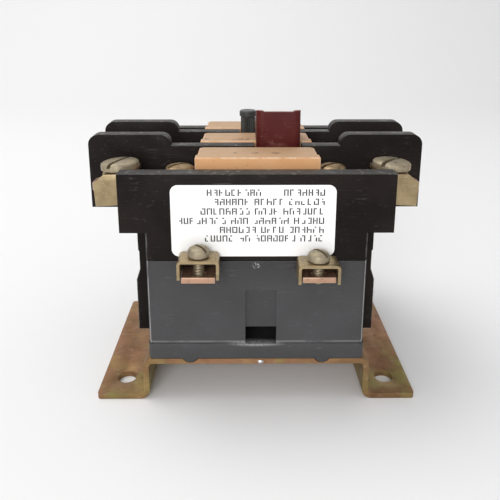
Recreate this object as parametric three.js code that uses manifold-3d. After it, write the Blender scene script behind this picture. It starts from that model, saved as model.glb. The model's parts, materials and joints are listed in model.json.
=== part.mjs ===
// Three-pole definite-purpose contactor on a stamped foot plate, as an assembly of separate pieces.
// Millimetres, +Z up. x runs across the poles' line and load terminals. Inside the assembly y is 0 on the
// housing's coil-terminal face and grows towards the back; the whole group is then centred on its box.
import * as THREE from "three";
import { mergeVertices } from "three/addons/utils/BufferGeometryUtils.js";
import Module from "manifold-3d";

const wasm = await Module();
wasm.setup();

// ---- Driving dimensions ----

const gap = 0.3; // clearance between two pieces that touch
const sides = 16; // facets of a screw head or a round hole
const cornerFacets = 6; // facets of a quarter-round corner

// Foot plate: one bent sheet, a raised platform between two feet
const sheet = 1.6;
const platformTop = 12.9;
const plateDepth = 54.8; // the housing overhangs it at the back
const riserOut = 1.35; // middle of each riser's sheet, beyond the housing's side
const footWidth = 14.15; // from there to the foot's edge
const bendRadius = 2.0; // at the middle of the sheet
const footCorner = 1.0;
const footHoleEdge = 7.05;
const footHoleInset = 7.9;
const footHoleRadius = 2.7;
const housingScrewEdge = 7.65;
const housingScrewFront = 10.0; // from the plate's front edge
const housingScrewRear = 3.9; // from its rear edge
const housingScrewHead = 3.4;
const housingScrewHeadHeight = 2.2;
const housingScrewRadius = 2.0;
const housingScrewReach = 3.0; // above the coil housing's floor
const housingScrewSlot = 1.2;

// Housings, from the plate up
const bodyHalf = 29.65;
const frontWall = 5.0;
const barrier = 4.7;
const laneWidth = 16.55;
const poles = 3;
const shell = 2.6;
const cornerRadius = 1.4;
const coilHousingHeight = 29.15;
const bandHeight = 4.45;
const bandProud = 0.25;
const skirtHeight = 7.7;
const floorThick = 2.5;
const frontOverhang = 6.55; // front and rear walls beyond the housing's side
const frontHeight = 16.0; // walls and barriers are measured from the floor's underside
const barrierOverhang = 12.55; // barriers beyond the front wall's end
const barrierMidHalf = 24.8;
const barrierMidHeight = 18.65;
const barrierEndHeight = 22.0;
const barrierCorner = 3.0;

// Window in the coil housing's front, upwards from the band
const windowLeft = -3.05;
const windowRight = 5.55;
const windowHeight = 16.2;
const windowRecess = 1.1;
const ventHeight = 4.65;

// Locating lugs that hook over the plate's front edge
const lugX = 18.4;
const lugRadius = 2.1;
const lugReach = 2.4;
const lugRise = 0.85; // lug's middle above the housing's bottom

// Rating label, upwards from the seam
const labelLeft = -22.5;
const labelRight = 20.6;
const labelRise = 1.2;
const labelHeight = 19.7;
const labelCorner = 2.0;
const labelThick = 0.2;
const labelGap = 0.05;

// Snap clips on the housing's sides
const clipInset = 12.0; // from the front and from the rear
const clipHookHalf = 5.0;
const clipHookHeight = 3.0;
const clipHookDepth = 1.2;
const clipTopOut = 4.25; // thicknesses beyond the housing's side
const clipWaistOut = 3.95;
const clipBulgeOut = 5.05;
const clipRise = 2.0; // above the housing's bottom
const clipBulgeHeight = 16.0;
const clipFlare = 3.4;
const clipHookRise = 6.0;
const clipUpperHookRise = 2.0;
const clipStepDrop = 2.2; // where the waist ends, below the seam
const clipStepHeight = 0.3;

// Moving group and its stroke
const stroke = 3.5;
const overtravel = 1.0;
const carrierHalf = 16.9;
const carrierShift = 0.35; // the hoods reach this much further over the load side
const carrierStep = 0.45; // narrower behind the notches
const carrierNotch = 0.5;
const carrierNotchAt = 4.3; // behind the carrier's front face
const carrierNotchHalf = 0.8;
const carrierChamfer = 1.0;
const carrierSideGap = 1.8;
const carrierProud = 0.1; // above the barriers' middle
const carrierBlock = 5.7;
const stemHalf = 5.2;
const stemThick = 2.05;
const stemInsert = 3.3;
const sillHeight = 2.8;
const springPocketHalf = 3.7;
const springPocketRoof = 1.6;
const crossbarHalf = 8.0;
const crossbarHeight = 6.3;
const crossbarInset = 5.8; // from the front face and from the rear one
const crossbarArmHalf = 20.0;
const crossbarArmDepth = 16.0;
const crossbarArmHeight = 2.8;
const pinLugThick = 1.4;
const pinLugHalf = 4.0;
const pinRadius = 1.5;

// Contacts
const strapThick = 2.0;
const strapLeg = 1.5;
const strapWidth = 9.0;
const strapRise = 8.15; // terminal end's top above the floor
const strapHump = 3.0;
const strapHumpLength = 7.7;
const strapSlope = 2.0;
const strapDrop = 5.7;
const strapArmEnd = 8.6;
const strapTipCorner = 3.2;
const pedestalInset = 4.0; // a pedestal ends this far inside the terminal screw
const pedestalMargin = 1.5; // wider than the strap, each side
const contactX = 11.5;
const contactRadius = 2.6;
const contactThick = 1.0;
const bridgeHalf = 15.0;
const bridgeWidth = 7.0;
const bridgeThick = 1.4;
const strapScrewIn = 3.7; // from the hump's inner edge
const strapScrewHead = 3.9;
const strapScrewHeadHeight = 1.5;
const strapScrewRadius = 1.45;
const strapScrewLength = 8.3;
const strapScrewRim = 0.5;
const strapScrewSlot = 1.0;

// Main terminals, in each terminal's own leaning frame: origin on the strap's top, at the screw
const terminalOut = 1.45; // screw beyond the front wall's end
const strapTipOut = 7.85; // strap beyond the screw
const terminalLean = THREE.MathUtils.degToRad(3);
const saddleInner = 9.6;
const saddleSheet = 1.1;
const saddlePlateIn = 4.6;
const saddlePlateOut = 3.6;
const saddlePlateLift = 2.1;
const saddlePlateThick = 1.2;
const cheekIn = 0.4;
const cheekOut = 6.5;
const cheekDrop = 5.4;
const cheekShoulder = 2.2; // below the plate's top
const mainHeadRadius = 5.3;
const mainHeadHeight = 2.5;
const mainShankRadius = 2.3;
const mainShankTip = 5.0;
const mainSlot = 1.2;

// Coil terminals on the front face
const coilTerminalX = [-15.15, 16.0];
const coilSaddleLift = [1.3, 0.0]; // the left screw stands further out than the right one
const coilTabWidth = 8.7;
const coilTabThick = 1.65;
const coilTabDrop = 3.2; // its underside below the seam
const coilTabReach = 6.8;
const coilTabInner = 11.0;
const coilScrewOut = 3.8;
const coilSaddleSheet = 0.75;
const coilSaddleInner = 9.3;
const coilSaddleFront = 7.2;
const coilSaddleBack = 0.6;
const coilSaddleRise = 3.35; // above the tab
const coilSaddleHeight = 5.2;
const coilHeadRadius = 2.85;
const coilHeadHeight = 2.75;
const coilShankRadius = 1.7;
const coilShankLength = 6.2;
const coilSlot = 0.8;

// Actuator tab and test plunger on top
const tabLeft = 0.25;
const tabRight = 13.3;
const tabFrontInset = 1.15; // behind the first barrier's front face
const tabDepth = 15.5;
const tabHeight = 10.0; // above the carriers
const tabSkirt = 3.4; // front wall below the carriers' top
const tabFall = 4.8; // the side walls' rear below the front wall's top
const tabPip = 0.3; // the corners above the front wall's middle
const tabPipLength = 1.6;
const tabSheet = 1.4;
const tabPeg = 1.5;
const tabPegLength = 4.5;
const plungerX = -2.0;
const plungerCapRadius = 2.75;
const plungerCapHeight = 2.0;
const plungerRise = 6.85; // above the barriers' middle
const plungerRadius = 2.35;
const plungerSink = 1.2; // knob's foot below the barriers' middle
const plungerRodRadius = 1.0;
const plungerRodInsert = 2.9;

// Magnet and coil
const stackDepth = 20.0;
const coreHalf = 22.0;
const coreBack = 6.0;
const centreLegHalf = 5.5;
const outerLeg = 6.0;
const armatureThick = 6.0;
const bobbinHalf = 14.2;
const bobbinLength = 38.0;
const bobbinWall = 1.3;
const bobbinFlange = 1.5;
const windingInset = 0.6;
const padThick = 1.0;
const ringWire = 0.9;
const ringDrop = 1.6;
const ringSpan = 12.8; // from the stack's front face
const returnSpringOffset = 16.0;
const returnSpringRadius = 2.5;
const contactSpringRadius = 2.6;
const springWire = 0.4; // half the wire's thickness

// ---- Derived places ----

const pitch = laneWidth + barrier;
const depth = frontWall + poles * pitch;
const middle = frontWall + laneWidth / 2 + ((poles - 1) / 2) * pitch;
const laneY = (pole) => frontWall + laneWidth / 2 + pole * pitch;
const barrierY = (pole) => frontWall + laneWidth + pole * pitch; // front face of the wall behind that pole

const riserX = bodyHalf + riserOut;
const plateHalf = riserX + footWidth;
const footHoleX = plateHalf - footHoleEdge;
const housingScrewX = bodyHalf - housingScrewEdge;
const frontHalf = bodyHalf + frontOverhang;
const barrierHalf = frontHalf + barrierOverhang;
const terminalX = frontHalf + terminalOut;
const strapTipX = terminalX + strapTipOut;

const housingBottom = platformTop + gap;
const bandTop = housingBottom + bandHeight;
const coilFloor = housingBottom + shell;
const coilHousingTop = housingBottom + coilHousingHeight;
const contactHousingBottom = coilHousingTop + gap;
const floorUnder = contactHousingBottom + skirtHeight;
const floorTop = floorUnder + floorThick;
const frontTop = floorUnder + frontHeight;
const barrierMidTop = floorUnder + barrierMidHeight;
const barrierEndTop = floorUnder + barrierEndHeight;
const clipBottom = housingBottom + clipRise;
const clipHooks = [clipBottom + clipHookRise, contactHousingBottom + clipUpperHookRise];

const carrierDepth = laneWidth - 2 * carrierSideGap;
const carrierTop = barrierMidTop + carrierProud;
const carrierUnder = carrierTop - carrierBlock;
const crossbarTop = floorUnder - 1.5 * gap;
const crossbarUnder = crossbarTop - crossbarHeight;
const stemFoot = crossbarTop - stemInsert;
const strapTop = floorTop + strapRise;
const strapHumpTop = strapTop + strapHump;
const strapHumpIn = carrierHalf + carrierShift + gap;
const strapHumpOut = strapHumpIn + strapHumpLength;
const strapArmTop = strapTop - strapDrop;
const strapScrewX = strapHumpIn + strapScrewIn;
const strapScrewSeat = strapHumpTop + gap;
const strapScrewTip = strapScrewSeat - strapScrewLength;
const contactTop = strapArmTop + contactThick;
const bridgeUnder = contactTop + gap + (stroke - overtravel) + contactThick;
const sillTop = bridgeUnder - gap;

const tabFront = barrierY(0) + tabFrontInset;
const tabMiddle = (tabLeft + tabRight) / 2;
const tabSkirtFoot = carrierTop - tabSkirt;
const plungerY = barrierY(1) + barrier / 2;
const plungerFoot = barrierMidTop - plungerSink;

const armatureTop = crossbarUnder - gap;
const armatureUnder = armatureTop - armatureThick;
const pinHeight = armatureTop - armatureThick / 2;
const poleFace = armatureUnder - stroke - gap;
const coreBottom = coilFloor + padThick + 2 * gap;
const coreBackTop = coreBottom + coreBack;
const bobbinBottom = coreBackTop + gap;
const bobbinTop = poleFace - 2 * gap;
const ringBack = middle - stackDepth / 2 + ringSpan;

const coilTabBottom = coilHousingTop - coilTabDrop;
const coilSaddleTop = coilTabBottom + coilTabThick + coilSaddleRise;

// ---- Solids from three.js geometry ----

// A closed geometry as a solid that can be joined and cut
function solidOf(geometry) {
  const plain = geometry.index ? geometry.toNonIndexed() : geometry.clone();
  plain.deleteAttribute("normal");
  plain.deleteAttribute("uv");
  const merged = mergeVertices(plain, 1e-4);
  return new wasm.Manifold(
    new wasm.Mesh({
      numProp: 3,
      vertProperties: merged.attributes.position.array,
      triVerts: new Uint32Array(merged.index.array),
    }),
  );
}

function geometryOf(solid) {
  const mesh = solid.getMesh();
  const geometry = new THREE.BufferGeometry();
  geometry.setAttribute("position", new THREE.BufferAttribute(mesh.vertProperties, 3));
  geometry.setIndex(new THREE.BufferAttribute(mesh.triVerts, 1));
  geometry.computeVertexNormals();
  return geometry;
}

function join(...solids) {
  return solids.reduce((whole, solid) => whole.add(solid));
}

function cut(solid, ...tools) {
  return tools.reduce((whole, tool) => whole.subtract(tool), solid);
}

// A box between two corners, whichever way round each pair is given
function block([x0, x1], [y0, y1], [z0, z1]) {
  const box = new THREE.BoxGeometry(Math.abs(x1 - x0), Math.abs(y1 - y0), Math.abs(z1 - z0));
  return solidOf(box.translate((x0 + x1) / 2, (y0 + y1) / 2, (z0 + z1) / 2));
}

// A round bar standing along z
function post(radius, [z0, z1], x = 0, y = 0, facets = sides) {
  const bar = new THREE.CylinderGeometry(radius, radius, z1 - z0, facets).rotateX(Math.PI / 2);
  return solidOf(bar.translate(x, y, (z0 + z1) / 2));
}

// A round bar lying along y
function axle(radius, [y0, y1], x, z, facets = sides) {
  const bar = new THREE.CylinderGeometry(radius, radius, y1 - y0, facets);
  return solidOf(bar.translate(x, (y0 + y1) / 2, z));
}

function shapeOf(points) {
  return new THREE.Shape(points.map(([a, b]) => new THREE.Vector2(a, b)));
}

// An outline in x and y, raised from z0 to z1
function slab(shape, [z0, z1]) {
  const options = { depth: z1 - z0, bevelEnabled: false, curveSegments: cornerFacets };
  return solidOf(new THREE.ExtrudeGeometry(shape, options).translate(0, 0, z0));
}

// An outline in x and z, carried from y0 to y1
function profile(shape, [y0, y1]) {
  const options = { depth: y1 - y0, bevelEnabled: false, curveSegments: cornerFacets };
  const carried = new THREE.ExtrudeGeometry(shape, options).rotateX(Math.PI / 2);
  return solidOf(carried.translate(0, y1, 0));
}

// An outline in y and z, carried from x0 to x1
function sideProfile(shape, [x0, x1]) {
  const options = { depth: x1 - x0, bevelEnabled: false };
  const carried = new THREE.ExtrudeGeometry(shape, options).rotateX(Math.PI / 2).rotateZ(Math.PI / 2);
  return solidOf(carried.translate(x0, 0, 0));
}

function roundedRectangle([a0, a1], [b0, b1], radius) {
  const shape = new THREE.Shape();
  shape.moveTo(a0 + radius, b0);
  shape.lineTo(a1 - radius, b0);
  shape.absarc(a1 - radius, b0 + radius, radius, -Math.PI / 2, 0);
  shape.lineTo(a1, b1 - radius);
  shape.absarc(a1 - radius, b1 - radius, radius, 0, Math.PI / 2);
  shape.lineTo(a0 + radius, b1);
  shape.absarc(a0 + radius, b1 - radius, radius, Math.PI / 2, Math.PI);
  shape.lineTo(a0, b0 + radius);
  shape.absarc(a0 + radius, b0 + radius, radius, Math.PI, 1.5 * Math.PI);
  return shape;
}

// A turned solid about z from radius and height pairs that start and end on the axis
function turned(points, facets = sides) {
  const outline = points.map(([r, z]) => new THREE.Vector2(r, z));
  return solidOf(new THREE.LatheGeometry(outline, facets).rotateX(Math.PI / 2));
}

class Helix extends THREE.Curve {
  constructor(radius, bottom, top, turns) {
    super();
    Object.assign(this, { radius, bottom, top, turns });
  }

  getPoint(t, target = new THREE.Vector3()) {
    const angle = 2 * Math.PI * this.turns * t;
    const height = this.bottom + (this.top - this.bottom) * t;
    return target.set(this.radius * Math.cos(angle), this.radius * Math.sin(angle), height);
  }
}

// A coil spring about z between two heights, measured over the wire
function spring(radius, wire, [z0, z1], turns, x, y) {
  const section = new THREE.Shape().absarc(0, 0, wire, 0, 2 * Math.PI);
  const path = new Helix(radius, z0 + wire, z1 - wire, turns);
  const options = { steps: turns * 10, extrudePath: path, bevelEnabled: false, curveSegments: 3 };
  return solidOf(new THREE.ExtrudeGeometry(section, options).translate(x, y, 0));
}

// ---- Finishes ----

const finishes = {
  chromate: { color: 0xb98d5c, roughness: 0.42, metalness: 0.85 },
  phenolic: { color: 0x2b2827, roughness: 0.5, metalness: 0.0 },
  label: { color: 0xf4f4f2, roughness: 0.6, metalness: 0.0 },
  tan: { color: 0xd9a876, roughness: 0.55, metalness: 0.0 },
  maroon: { color: 0x5c2020, roughness: 0.5, metalness: 0.0 },
  knob: { color: 0x23272a, roughness: 0.45, metalness: 0.0 },
  plated: { color: 0xb7aa86, roughness: 0.38, metalness: 0.9 },
  copper: { color: 0xc08a68, roughness: 0.4, metalness: 0.9 },
  brass: { color: 0xb88c4e, roughness: 0.35, metalness: 0.9 },
  steel: { color: 0x8d9094, roughness: 0.4, metalness: 0.9 },
  winding: { color: 0x8a4a26, roughness: 0.45, metalness: 0.6 },
  bobbin: { color: 0xe6e2d8, roughness: 0.5, metalness: 0.0 },
  pad: { color: 0x3a3a38, roughness: 0.9, metalness: 0.0 },
};

const contactor = new THREE.Group();

function addPiece(name, solid, finish, parent = contactor) {
  const material = new THREE.MeshStandardMaterial(finishes[finish]);
  const mesh = new THREE.Mesh(geometryOf(solid), material);
  mesh.name = name;
  parent.add(mesh);
}

// ---- Foot plate and its screws ----

// One face of the bent sheet from the right foot's edge to the left one's, offset from mid-sheet
function plateFace(offset) {
  const foot = sheet / 2;
  const platform = platformTop - sheet / 2;
  const right = [[plateHalf, foot + offset]];
  const steps = 8;
  for (let i = 0; i <= steps; i++) {
    const angle = -Math.PI / 2 - (Math.PI / 2) * (i / steps);
    const r = bendRadius - offset;
    right.push([riserX + bendRadius + r * Math.cos(angle), foot + bendRadius + r * Math.sin(angle)]);
  }
  for (let i = 0; i <= steps; i++) {
    const angle = (Math.PI / 2) * (i / steps);
    const r = bendRadius + offset;
    right.push([riserX - bendRadius + r * Math.cos(angle), platform - bendRadius + r * Math.sin(angle)]);
  }
  const left = right.map(([x, z]) => [-x, z]).reverse();
  return right.concat(left);
}

function basePlate() {
  const outline = plateFace(sheet / 2).concat(plateFace(-sheet / 2).reverse());
  const bent = profile(shapeOf(outline), [0, plateDepth]);
  const corners = roundedRectangle([-plateHalf, plateHalf], [0, plateDepth], footCorner);
  const holes = [];
  for (const side of [-1, 1]) {
    for (const y of [footHoleInset, plateDepth - footHoleInset]) {
      holes.push(post(footHoleRadius, [-1, sheet + 1], side * footHoleX, y));
    }
    holes.push(post(housingScrewRadius + gap, [platformTop - 3, platformTop + 1], ...housingScrewAt(side)));
    holes.push(axle(lugRadius + gap, [-1, lugReach + gap], side * lugX, housingBottom + lugRise));
  }
  return cut(bent.intersect(slab(corners, [-1, platformTop + 1])), ...holes);
}

// The two screws sit at opposite corners of the housing
function housingScrewAt(side) {
  return [side * housingScrewX, side < 0 ? housingScrewFront : plateDepth - housingScrewRear];
}

function housingScrew(side) {
  const seat = platformTop - sheet - gap;
  const head = post(housingScrewHead, [seat - housingScrewHeadHeight, seat]);
  const shank = post(housingScrewRadius, [seat - 0.5, coilFloor + housingScrewReach]);
  const halfSlot = [-housingScrewSlot / 2, housingScrewSlot / 2];
  const slotZ = [seat - housingScrewHeadHeight - 1, seat - housingScrewHeadHeight / 2];
  const slot = block([-housingScrewHead - 1, housingScrewHead + 1], halfSlot, slotZ);
  return cut(join(head, shank), slot).translate([...housingScrewAt(side), 0]);
}

// ---- Coil housing: the lower shell ----

function coilHousing() {
  const outer = slab(
    roundedRectangle([-bodyHalf, bodyHalf], [0, depth], cornerRadius),
    [housingBottom, coilHousingTop],
  );
  const bandX = [-bodyHalf - bandProud, bodyHalf + bandProud];
  const band = slab(
    roundedRectangle(bandX, [-bandProud, depth + bandProud], cornerRadius),
    [housingBottom, bandTop],
  );
  const inside = block(
    [shell - bodyHalf, bodyHalf - shell],
    [shell, depth - shell],
    [coilFloor, coilHousingTop + 1],
  );
  const boss = [housingBottom + 1, coilFloor + housingScrewReach + 2];
  const bosses = [-1, 1].map((side) => post(housingScrewHead, boss, ...housingScrewAt(side)));
  const lugs = [-1, 1].map((side) =>
    axle(lugRadius, [-bandProud, lugReach], side * lugX, housingBottom + lugRise),
  );
  const body = join(cut(join(outer, band), inside), ...bosses, ...lugs);

  const holes = [
    block([windowLeft, windowRight], [-1, windowRecess], [bandTop, bandTop + windowHeight]),
    block([windowLeft, windowRight], [-1, shell + 1], [bandTop, bandTop + ventHeight]),
  ];
  for (const x of coilTerminalX) {
    const half = coilTabWidth / 2 + gap;
    const z = [coilTabBottom - gap, coilTabBottom + coilTabThick + gap];
    holes.push(block([x - half, x + half], [-1, shell + 1], z));
  }
  for (const side of [-1, 1]) {
    const bore = [housingBottom - 1, coilFloor + housingScrewReach + 1];
    holes.push(post(housingScrewRadius + gap, bore, ...housingScrewAt(side)));
    holes.push(clipPocket(side, clipHooks[0]));
  }
  return cut(body, ...holes);
}

// A pocket in the side wall that takes one hook of a snap clip
function clipPocket(side, bottom) {
  const x = [side * (bodyHalf - clipHookDepth - gap), side * (bodyHalf + 1)];
  const reach = clipHookHalf + gap;
  return block(x, [middle - reach, middle + reach], [bottom - gap, bottom + clipHookHeight + gap]);
}

// ---- Contact housing: the upper shell with its pole barriers ----

function barrierOutline() {
  const r = barrierCorner;
  const shape = new THREE.Shape();
  shape.moveTo(-barrierHalf, floorUnder);
  shape.lineTo(barrierHalf, floorUnder);
  shape.lineTo(barrierHalf, barrierEndTop - r);
  shape.absarc(barrierHalf - r, barrierEndTop - r, r, 0, Math.PI / 2);
  shape.lineTo(barrierMidHalf + r, barrierEndTop);
  shape.absarc(barrierMidHalf + r, barrierEndTop - r, r, Math.PI / 2, Math.PI);
  shape.lineTo(barrierMidHalf, barrierMidTop);
  shape.lineTo(-barrierMidHalf, barrierMidTop);
  shape.lineTo(-barrierMidHalf, barrierEndTop - r);
  shape.absarc(-barrierMidHalf - r, barrierEndTop - r, r, 0, Math.PI / 2);
  shape.lineTo(-barrierHalf + r, barrierEndTop);
  shape.absarc(-barrierHalf + r, barrierEndTop - r, r, Math.PI / 2, Math.PI);
  return shape;
}

// A seat under each stationary strap: low under the terminal, high under the strap's hump
function pedestal(side) {
  const low = strapTop - strapThick - gap;
  const high = strapHumpTop - strapThick - gap;
  const start = strapHumpIn + strapLeg + gap;
  const rise = strapHumpOut - strapThick / 2 - gap / 2;
  const outline = [
    [start, floorTop - 1],
    [terminalX - pedestalInset, floorTop - 1],
    [terminalX - pedestalInset, low],
    [rise + strapSlope, low],
    [rise, high],
    [start, high],
  ];
  return shapeOf(outline.map(([x, z]) => [side * x, z]));
}

function contactHousing() {
  const body = cut(
    slab(
      roundedRectangle([-bodyHalf, bodyHalf], [0, depth], cornerRadius),
      [contactHousingBottom, floorUnder + 1],
    ),
    block(
      [shell - bodyHalf, bodyHalf - shell],
      [shell, depth - shell],
      [contactHousingBottom - 1, floorUnder],
    ),
  );
  const solids = [
    body,
    block([-frontHalf, frontHalf], [0, depth], [floorUnder, floorTop]),
    block([-frontHalf, frontHalf], [0, frontWall], [floorUnder, frontTop]),
    block([-frontHalf, frontHalf], [depth - barrier, depth], [floorUnder, frontTop]),
  ];
  for (let pole = 0; pole < poles - 1; pole++) {
    solids.push(profile(barrierOutline(), [barrierY(pole), barrierY(pole) + barrier]));
  }
  const holes = [];
  for (let pole = 0; pole < poles; pole++) {
    const y = laneY(pole);
    for (const side of [-1, 1]) {
      const half = strapWidth / 2 + pedestalMargin;
      solids.push(profile(pedestal(side), [y - half, y + half]));
      const bore = [strapScrewTip - gap, strapHumpTop];
      holes.push(post(strapScrewRadius + gap, bore, side * strapScrewX, y));
    }
    const halfY = carrierDepth / 2 + 2 * gap;
    const slotX = stemHalf + 2 * gap;
    holes.push(block([-slotX, slotX], [y - halfY, y + halfY], [floorUnder - 1, floorTop + 1]));
  }
  const tabNotch = [tabLeft - 1.5 * gap, tabRight + 1.5 * gap];
  const tabNotchFloor = tabSkirtFoot - stroke - 2 * gap;
  const throughBarrier = (pole) => [barrierY(pole) - 1, barrierY(pole) + barrier + 1];
  holes.push(block(tabNotch, throughBarrier(0), [tabNotchFloor, barrierMidTop + 1]));
  const plungerNotch = plungerRadius + 1.5 * gap;
  holes.push(
    block(
      [plungerX - plungerNotch, plungerX + plungerNotch],
      throughBarrier(1),
      [plungerFoot - stroke - gap, barrierMidTop + 1],
    ),
    post(plungerRodRadius + gap, [floorUnder - 1, barrierMidTop], plungerX, plungerY),
  );
  for (const side of [-1, 1]) {
    holes.push(clipPocket(side, clipHooks[1]));
  }
  return cut(join(...solids), ...holes);
}

// ---- Snap clips and label ----

function retainingClip(side) {
  const inner = bodyHalf + bandProud + gap;
  const outline = [
    [inner, clipBottom],
    [bodyHalf + clipBulgeOut, clipBottom],
    [bodyHalf + clipBulgeOut, clipBottom + clipBulgeHeight],
    [bodyHalf + clipWaistOut, clipBottom + clipBulgeHeight + clipFlare],
    [bodyHalf + clipWaistOut, coilHousingTop - clipStepDrop],
    [bodyHalf + clipTopOut, coilHousingTop - clipStepDrop + clipStepHeight],
    [bodyHalf + clipTopOut, floorUnder - gap],
    [inner, floorUnder - gap],
  ];
  const leaf = profile(shapeOf(outline.map(([x, z]) => [side * x, z])), [clipInset, depth - clipInset]);
  const hookX = [side * (bodyHalf - clipHookDepth), side * (inner + 1)];
  const hookY = [middle - clipHookHalf, middle + clipHookHalf];
  const hooks = clipHooks.map((z) => block(hookX, hookY, [z, z + clipHookHeight]));
  return join(leaf, ...hooks);
}

function ratingLabel() {
  const labelBottom = contactHousingBottom + labelRise;
  const z = [labelBottom, labelBottom + labelHeight];
  const outline = roundedRectangle([labelLeft, labelRight], z, labelCorner);
  return profile(outline, [-labelGap - labelThick, -labelGap]);
}

// ---- Moving group ----

function crossbar() {
  const beamY = [crossbarInset, depth - crossbarInset];
  const beam = block([-crossbarHalf, crossbarHalf], beamY, [crossbarUnder, crossbarTop]);
  const armY = [middle - crossbarArmDepth / 2, middle + crossbarArmDepth / 2];
  const armZ = [crossbarUnder, crossbarUnder + crossbarArmHeight];
  const arms = block([-crossbarArmHalf, crossbarArmHalf], armY, armZ);
  const near = stackDepth / 2 + gap;
  const lugs = [-1, 1].map((end) => {
    const y = [middle + end * near, middle + end * (near + pinLugThick)];
    return block([-pinLugHalf, pinLugHalf], y, [pinHeight - pinRadius - 1, crossbarUnder + 1]);
  });
  const holes = [axle(pinRadius + gap, [middle - 20, middle + 20], 0, pinHeight)];
  for (let pole = 0; pole < poles; pole++) {
    for (const end of [-1, 1]) {
      const outer = carrierDepth / 2 + gap;
      const inner = carrierDepth / 2 - stemThick - gap;
      const y = [laneY(pole) + end * inner, laneY(pole) + end * outer];
      holes.push(block([-stemHalf - gap, stemHalf + gap], y, [stemFoot - gap, crossbarTop + 1]));
    }
  }
  const rodSocket = [crossbarTop - plungerRodInsert - gap, crossbarTop + 1];
  holes.push(post(plungerRodRadius + gap, rodSocket, plungerX, plungerY));
  return cut(join(beam, arms, ...lugs), ...holes);
}

function armaturePin() {
  const half = stackDepth / 2 + gap + pinLugThick;
  return axle(pinRadius, [middle - half, middle + half], 0, pinHeight);
}

function armature() {
  const bar = block(
    [-coreHalf, coreHalf],
    [middle - stackDepth / 2, middle + stackDepth / 2],
    [armatureUnder, armatureTop],
  );
  return cut(bar, axle(pinRadius + gap, [middle - 20, middle + 20], 0, pinHeight));
}

// A T-shaped carrier: a wide notched hood over the contacts on two stems that straddle the bridge
function contactCarrier(pole) {
  const front = -carrierDepth / 2;
  const back = carrierDepth / 2;
  const inner = carrierHalf - carrierStep;
  const notch = front + carrierNotchAt;
  const flank = [
    [carrierHalf, front],
    [carrierHalf, notch - carrierNotchHalf],
    [inner - carrierNotch, notch],
    [inner, notch + carrierNotchHalf],
    [inner, back - carrierChamfer],
    [inner - carrierChamfer, back],
  ];
  const plan = [
    ...flank.map(([x, y]) => [carrierShift + x, y]),
    ...flank.map(([x, y]) => [carrierShift - x, y]).reverse(),
  ];
  const hood = slab(shapeOf(plan), [carrierUnder, carrierTop]);
  const pocketHalf = [-springPocketHalf, springPocketHalf];
  const pocket = block(pocketHalf, pocketHalf, [carrierUnder - 1, carrierTop - springPocketRoof]);
  const stems = [-1, 1].map((end) =>
    block([-stemHalf, stemHalf], [end * (back - stemThick), end * back], [stemFoot, carrierUnder + 1]),
  );
  const sill = block([-stemHalf, stemHalf], [front + 1, back - 1], [sillTop - sillHeight, sillTop]);
  const solid = join(cut(hood, pocket), ...stems, sill);
  const isMiddle = pole === 1;
  const pegHole = post(tabPeg + gap, [carrierUnder - 1, carrierTop + 1], tabMiddle, 0);
  return (isMiddle ? cut(solid, pegHole) : solid).translate([0, laneY(pole), 0]);
}

function movingBridge(pole) {
  const bar = block(
    [-bridgeHalf, bridgeHalf],
    [-bridgeWidth / 2, bridgeWidth / 2],
    [bridgeUnder, bridgeUnder + bridgeThick],
  );
  const tips = [-1, 1].map((side) =>
    post(contactRadius, [bridgeUnder - contactThick, bridgeUnder + 0.2], side * contactX, 0, 14),
  );
  return join(bar, ...tips).translate([0, laneY(pole), 0]);
}

function contactSpring(pole) {
  const bottom = bridgeUnder + bridgeThick + gap;
  const top = carrierTop - springPocketRoof - gap;
  return spring(contactSpringRadius, springWire, [bottom, top], 3, 0, laneY(pole));
}

function returnSpring(end) {
  const y = middle + end * returnSpringOffset;
  return spring(returnSpringRadius, springWire, [bobbinTop + gap, crossbarUnder - gap], 4, 0, y);
}

// A front wall with a pip at each corner, two side walls that slope down to the back, and a foot that
// pegs into the middle carrier
function actuatorTab() {
  const foot = carrierTop + gap;
  const top = carrierTop + tabHeight;
  const y = [tabFront, tabFront + tabDepth];
  const wallY = [tabFront, tabFront + tabSheet];
  const wall = cut(
    block([tabLeft, tabRight], wallY, [tabSkirtFoot, top]),
    block([tabLeft + tabPipLength, tabRight - tabPipLength], [y[0] - 1, y[1]], [top - tabPip, top + 1]),
  );
  const base = block([tabLeft, tabRight], y, [foot, foot + tabSheet]);
  const slope = [
    [y[0], foot],
    [y[1], foot],
    [y[1], top - tabFall],
    [y[0], top],
  ];
  const flanges = [tabLeft, tabRight - tabSheet].map((x) => sideProfile(shapeOf(slope), [x, x + tabSheet]));
  const peg = post(tabPeg, [carrierTop - tabPegLength, foot + 0.5], tabMiddle, laneY(1));
  return join(wall, base, ...flanges, peg);
}

function testPlunger() {
  const capTop = barrierMidTop + plungerRise;
  const capUnder = capTop - plungerCapHeight;
  const rodFoot = crossbarTop - plungerRodInsert;
  const outline = [
    [0, rodFoot],
    [plungerRodRadius, rodFoot],
    [plungerRodRadius, plungerFoot],
    [plungerRadius, plungerFoot],
    [plungerRadius, capUnder],
    [plungerCapRadius, capUnder],
    [plungerCapRadius, capTop],
    [0, capTop],
  ];
  return turned(outline, 24).translate([plungerX, plungerY, 0]);
}

// ---- Magnet and coil ----

function magnetCore() {
  const y = [middle - stackDepth / 2, middle + stackDepth / 2];
  const back = block([-coreHalf, coreHalf], y, [coreBottom, coreBackTop]);
  const centre = block([-centreLegHalf, centreLegHalf], y, [coreBottom, poleFace]);
  const legs = [-1, 1].map((side) =>
    block([side * (coreHalf - outerLeg), side * coreHalf], y, [coreBottom, poleFace]),
  );
  const slots = [-1, 1].map((side) => {
    const x = [side * (coreHalf - outerLeg - 1), side * (coreHalf + 1)];
    const slotY = [ringBack - ringWire - gap, ringBack + gap];
    return block(x, slotY, [poleFace - ringDrop - gap, poleFace + 1]);
  });
  return cut(join(back, centre, ...legs), ...slots);
}

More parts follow.
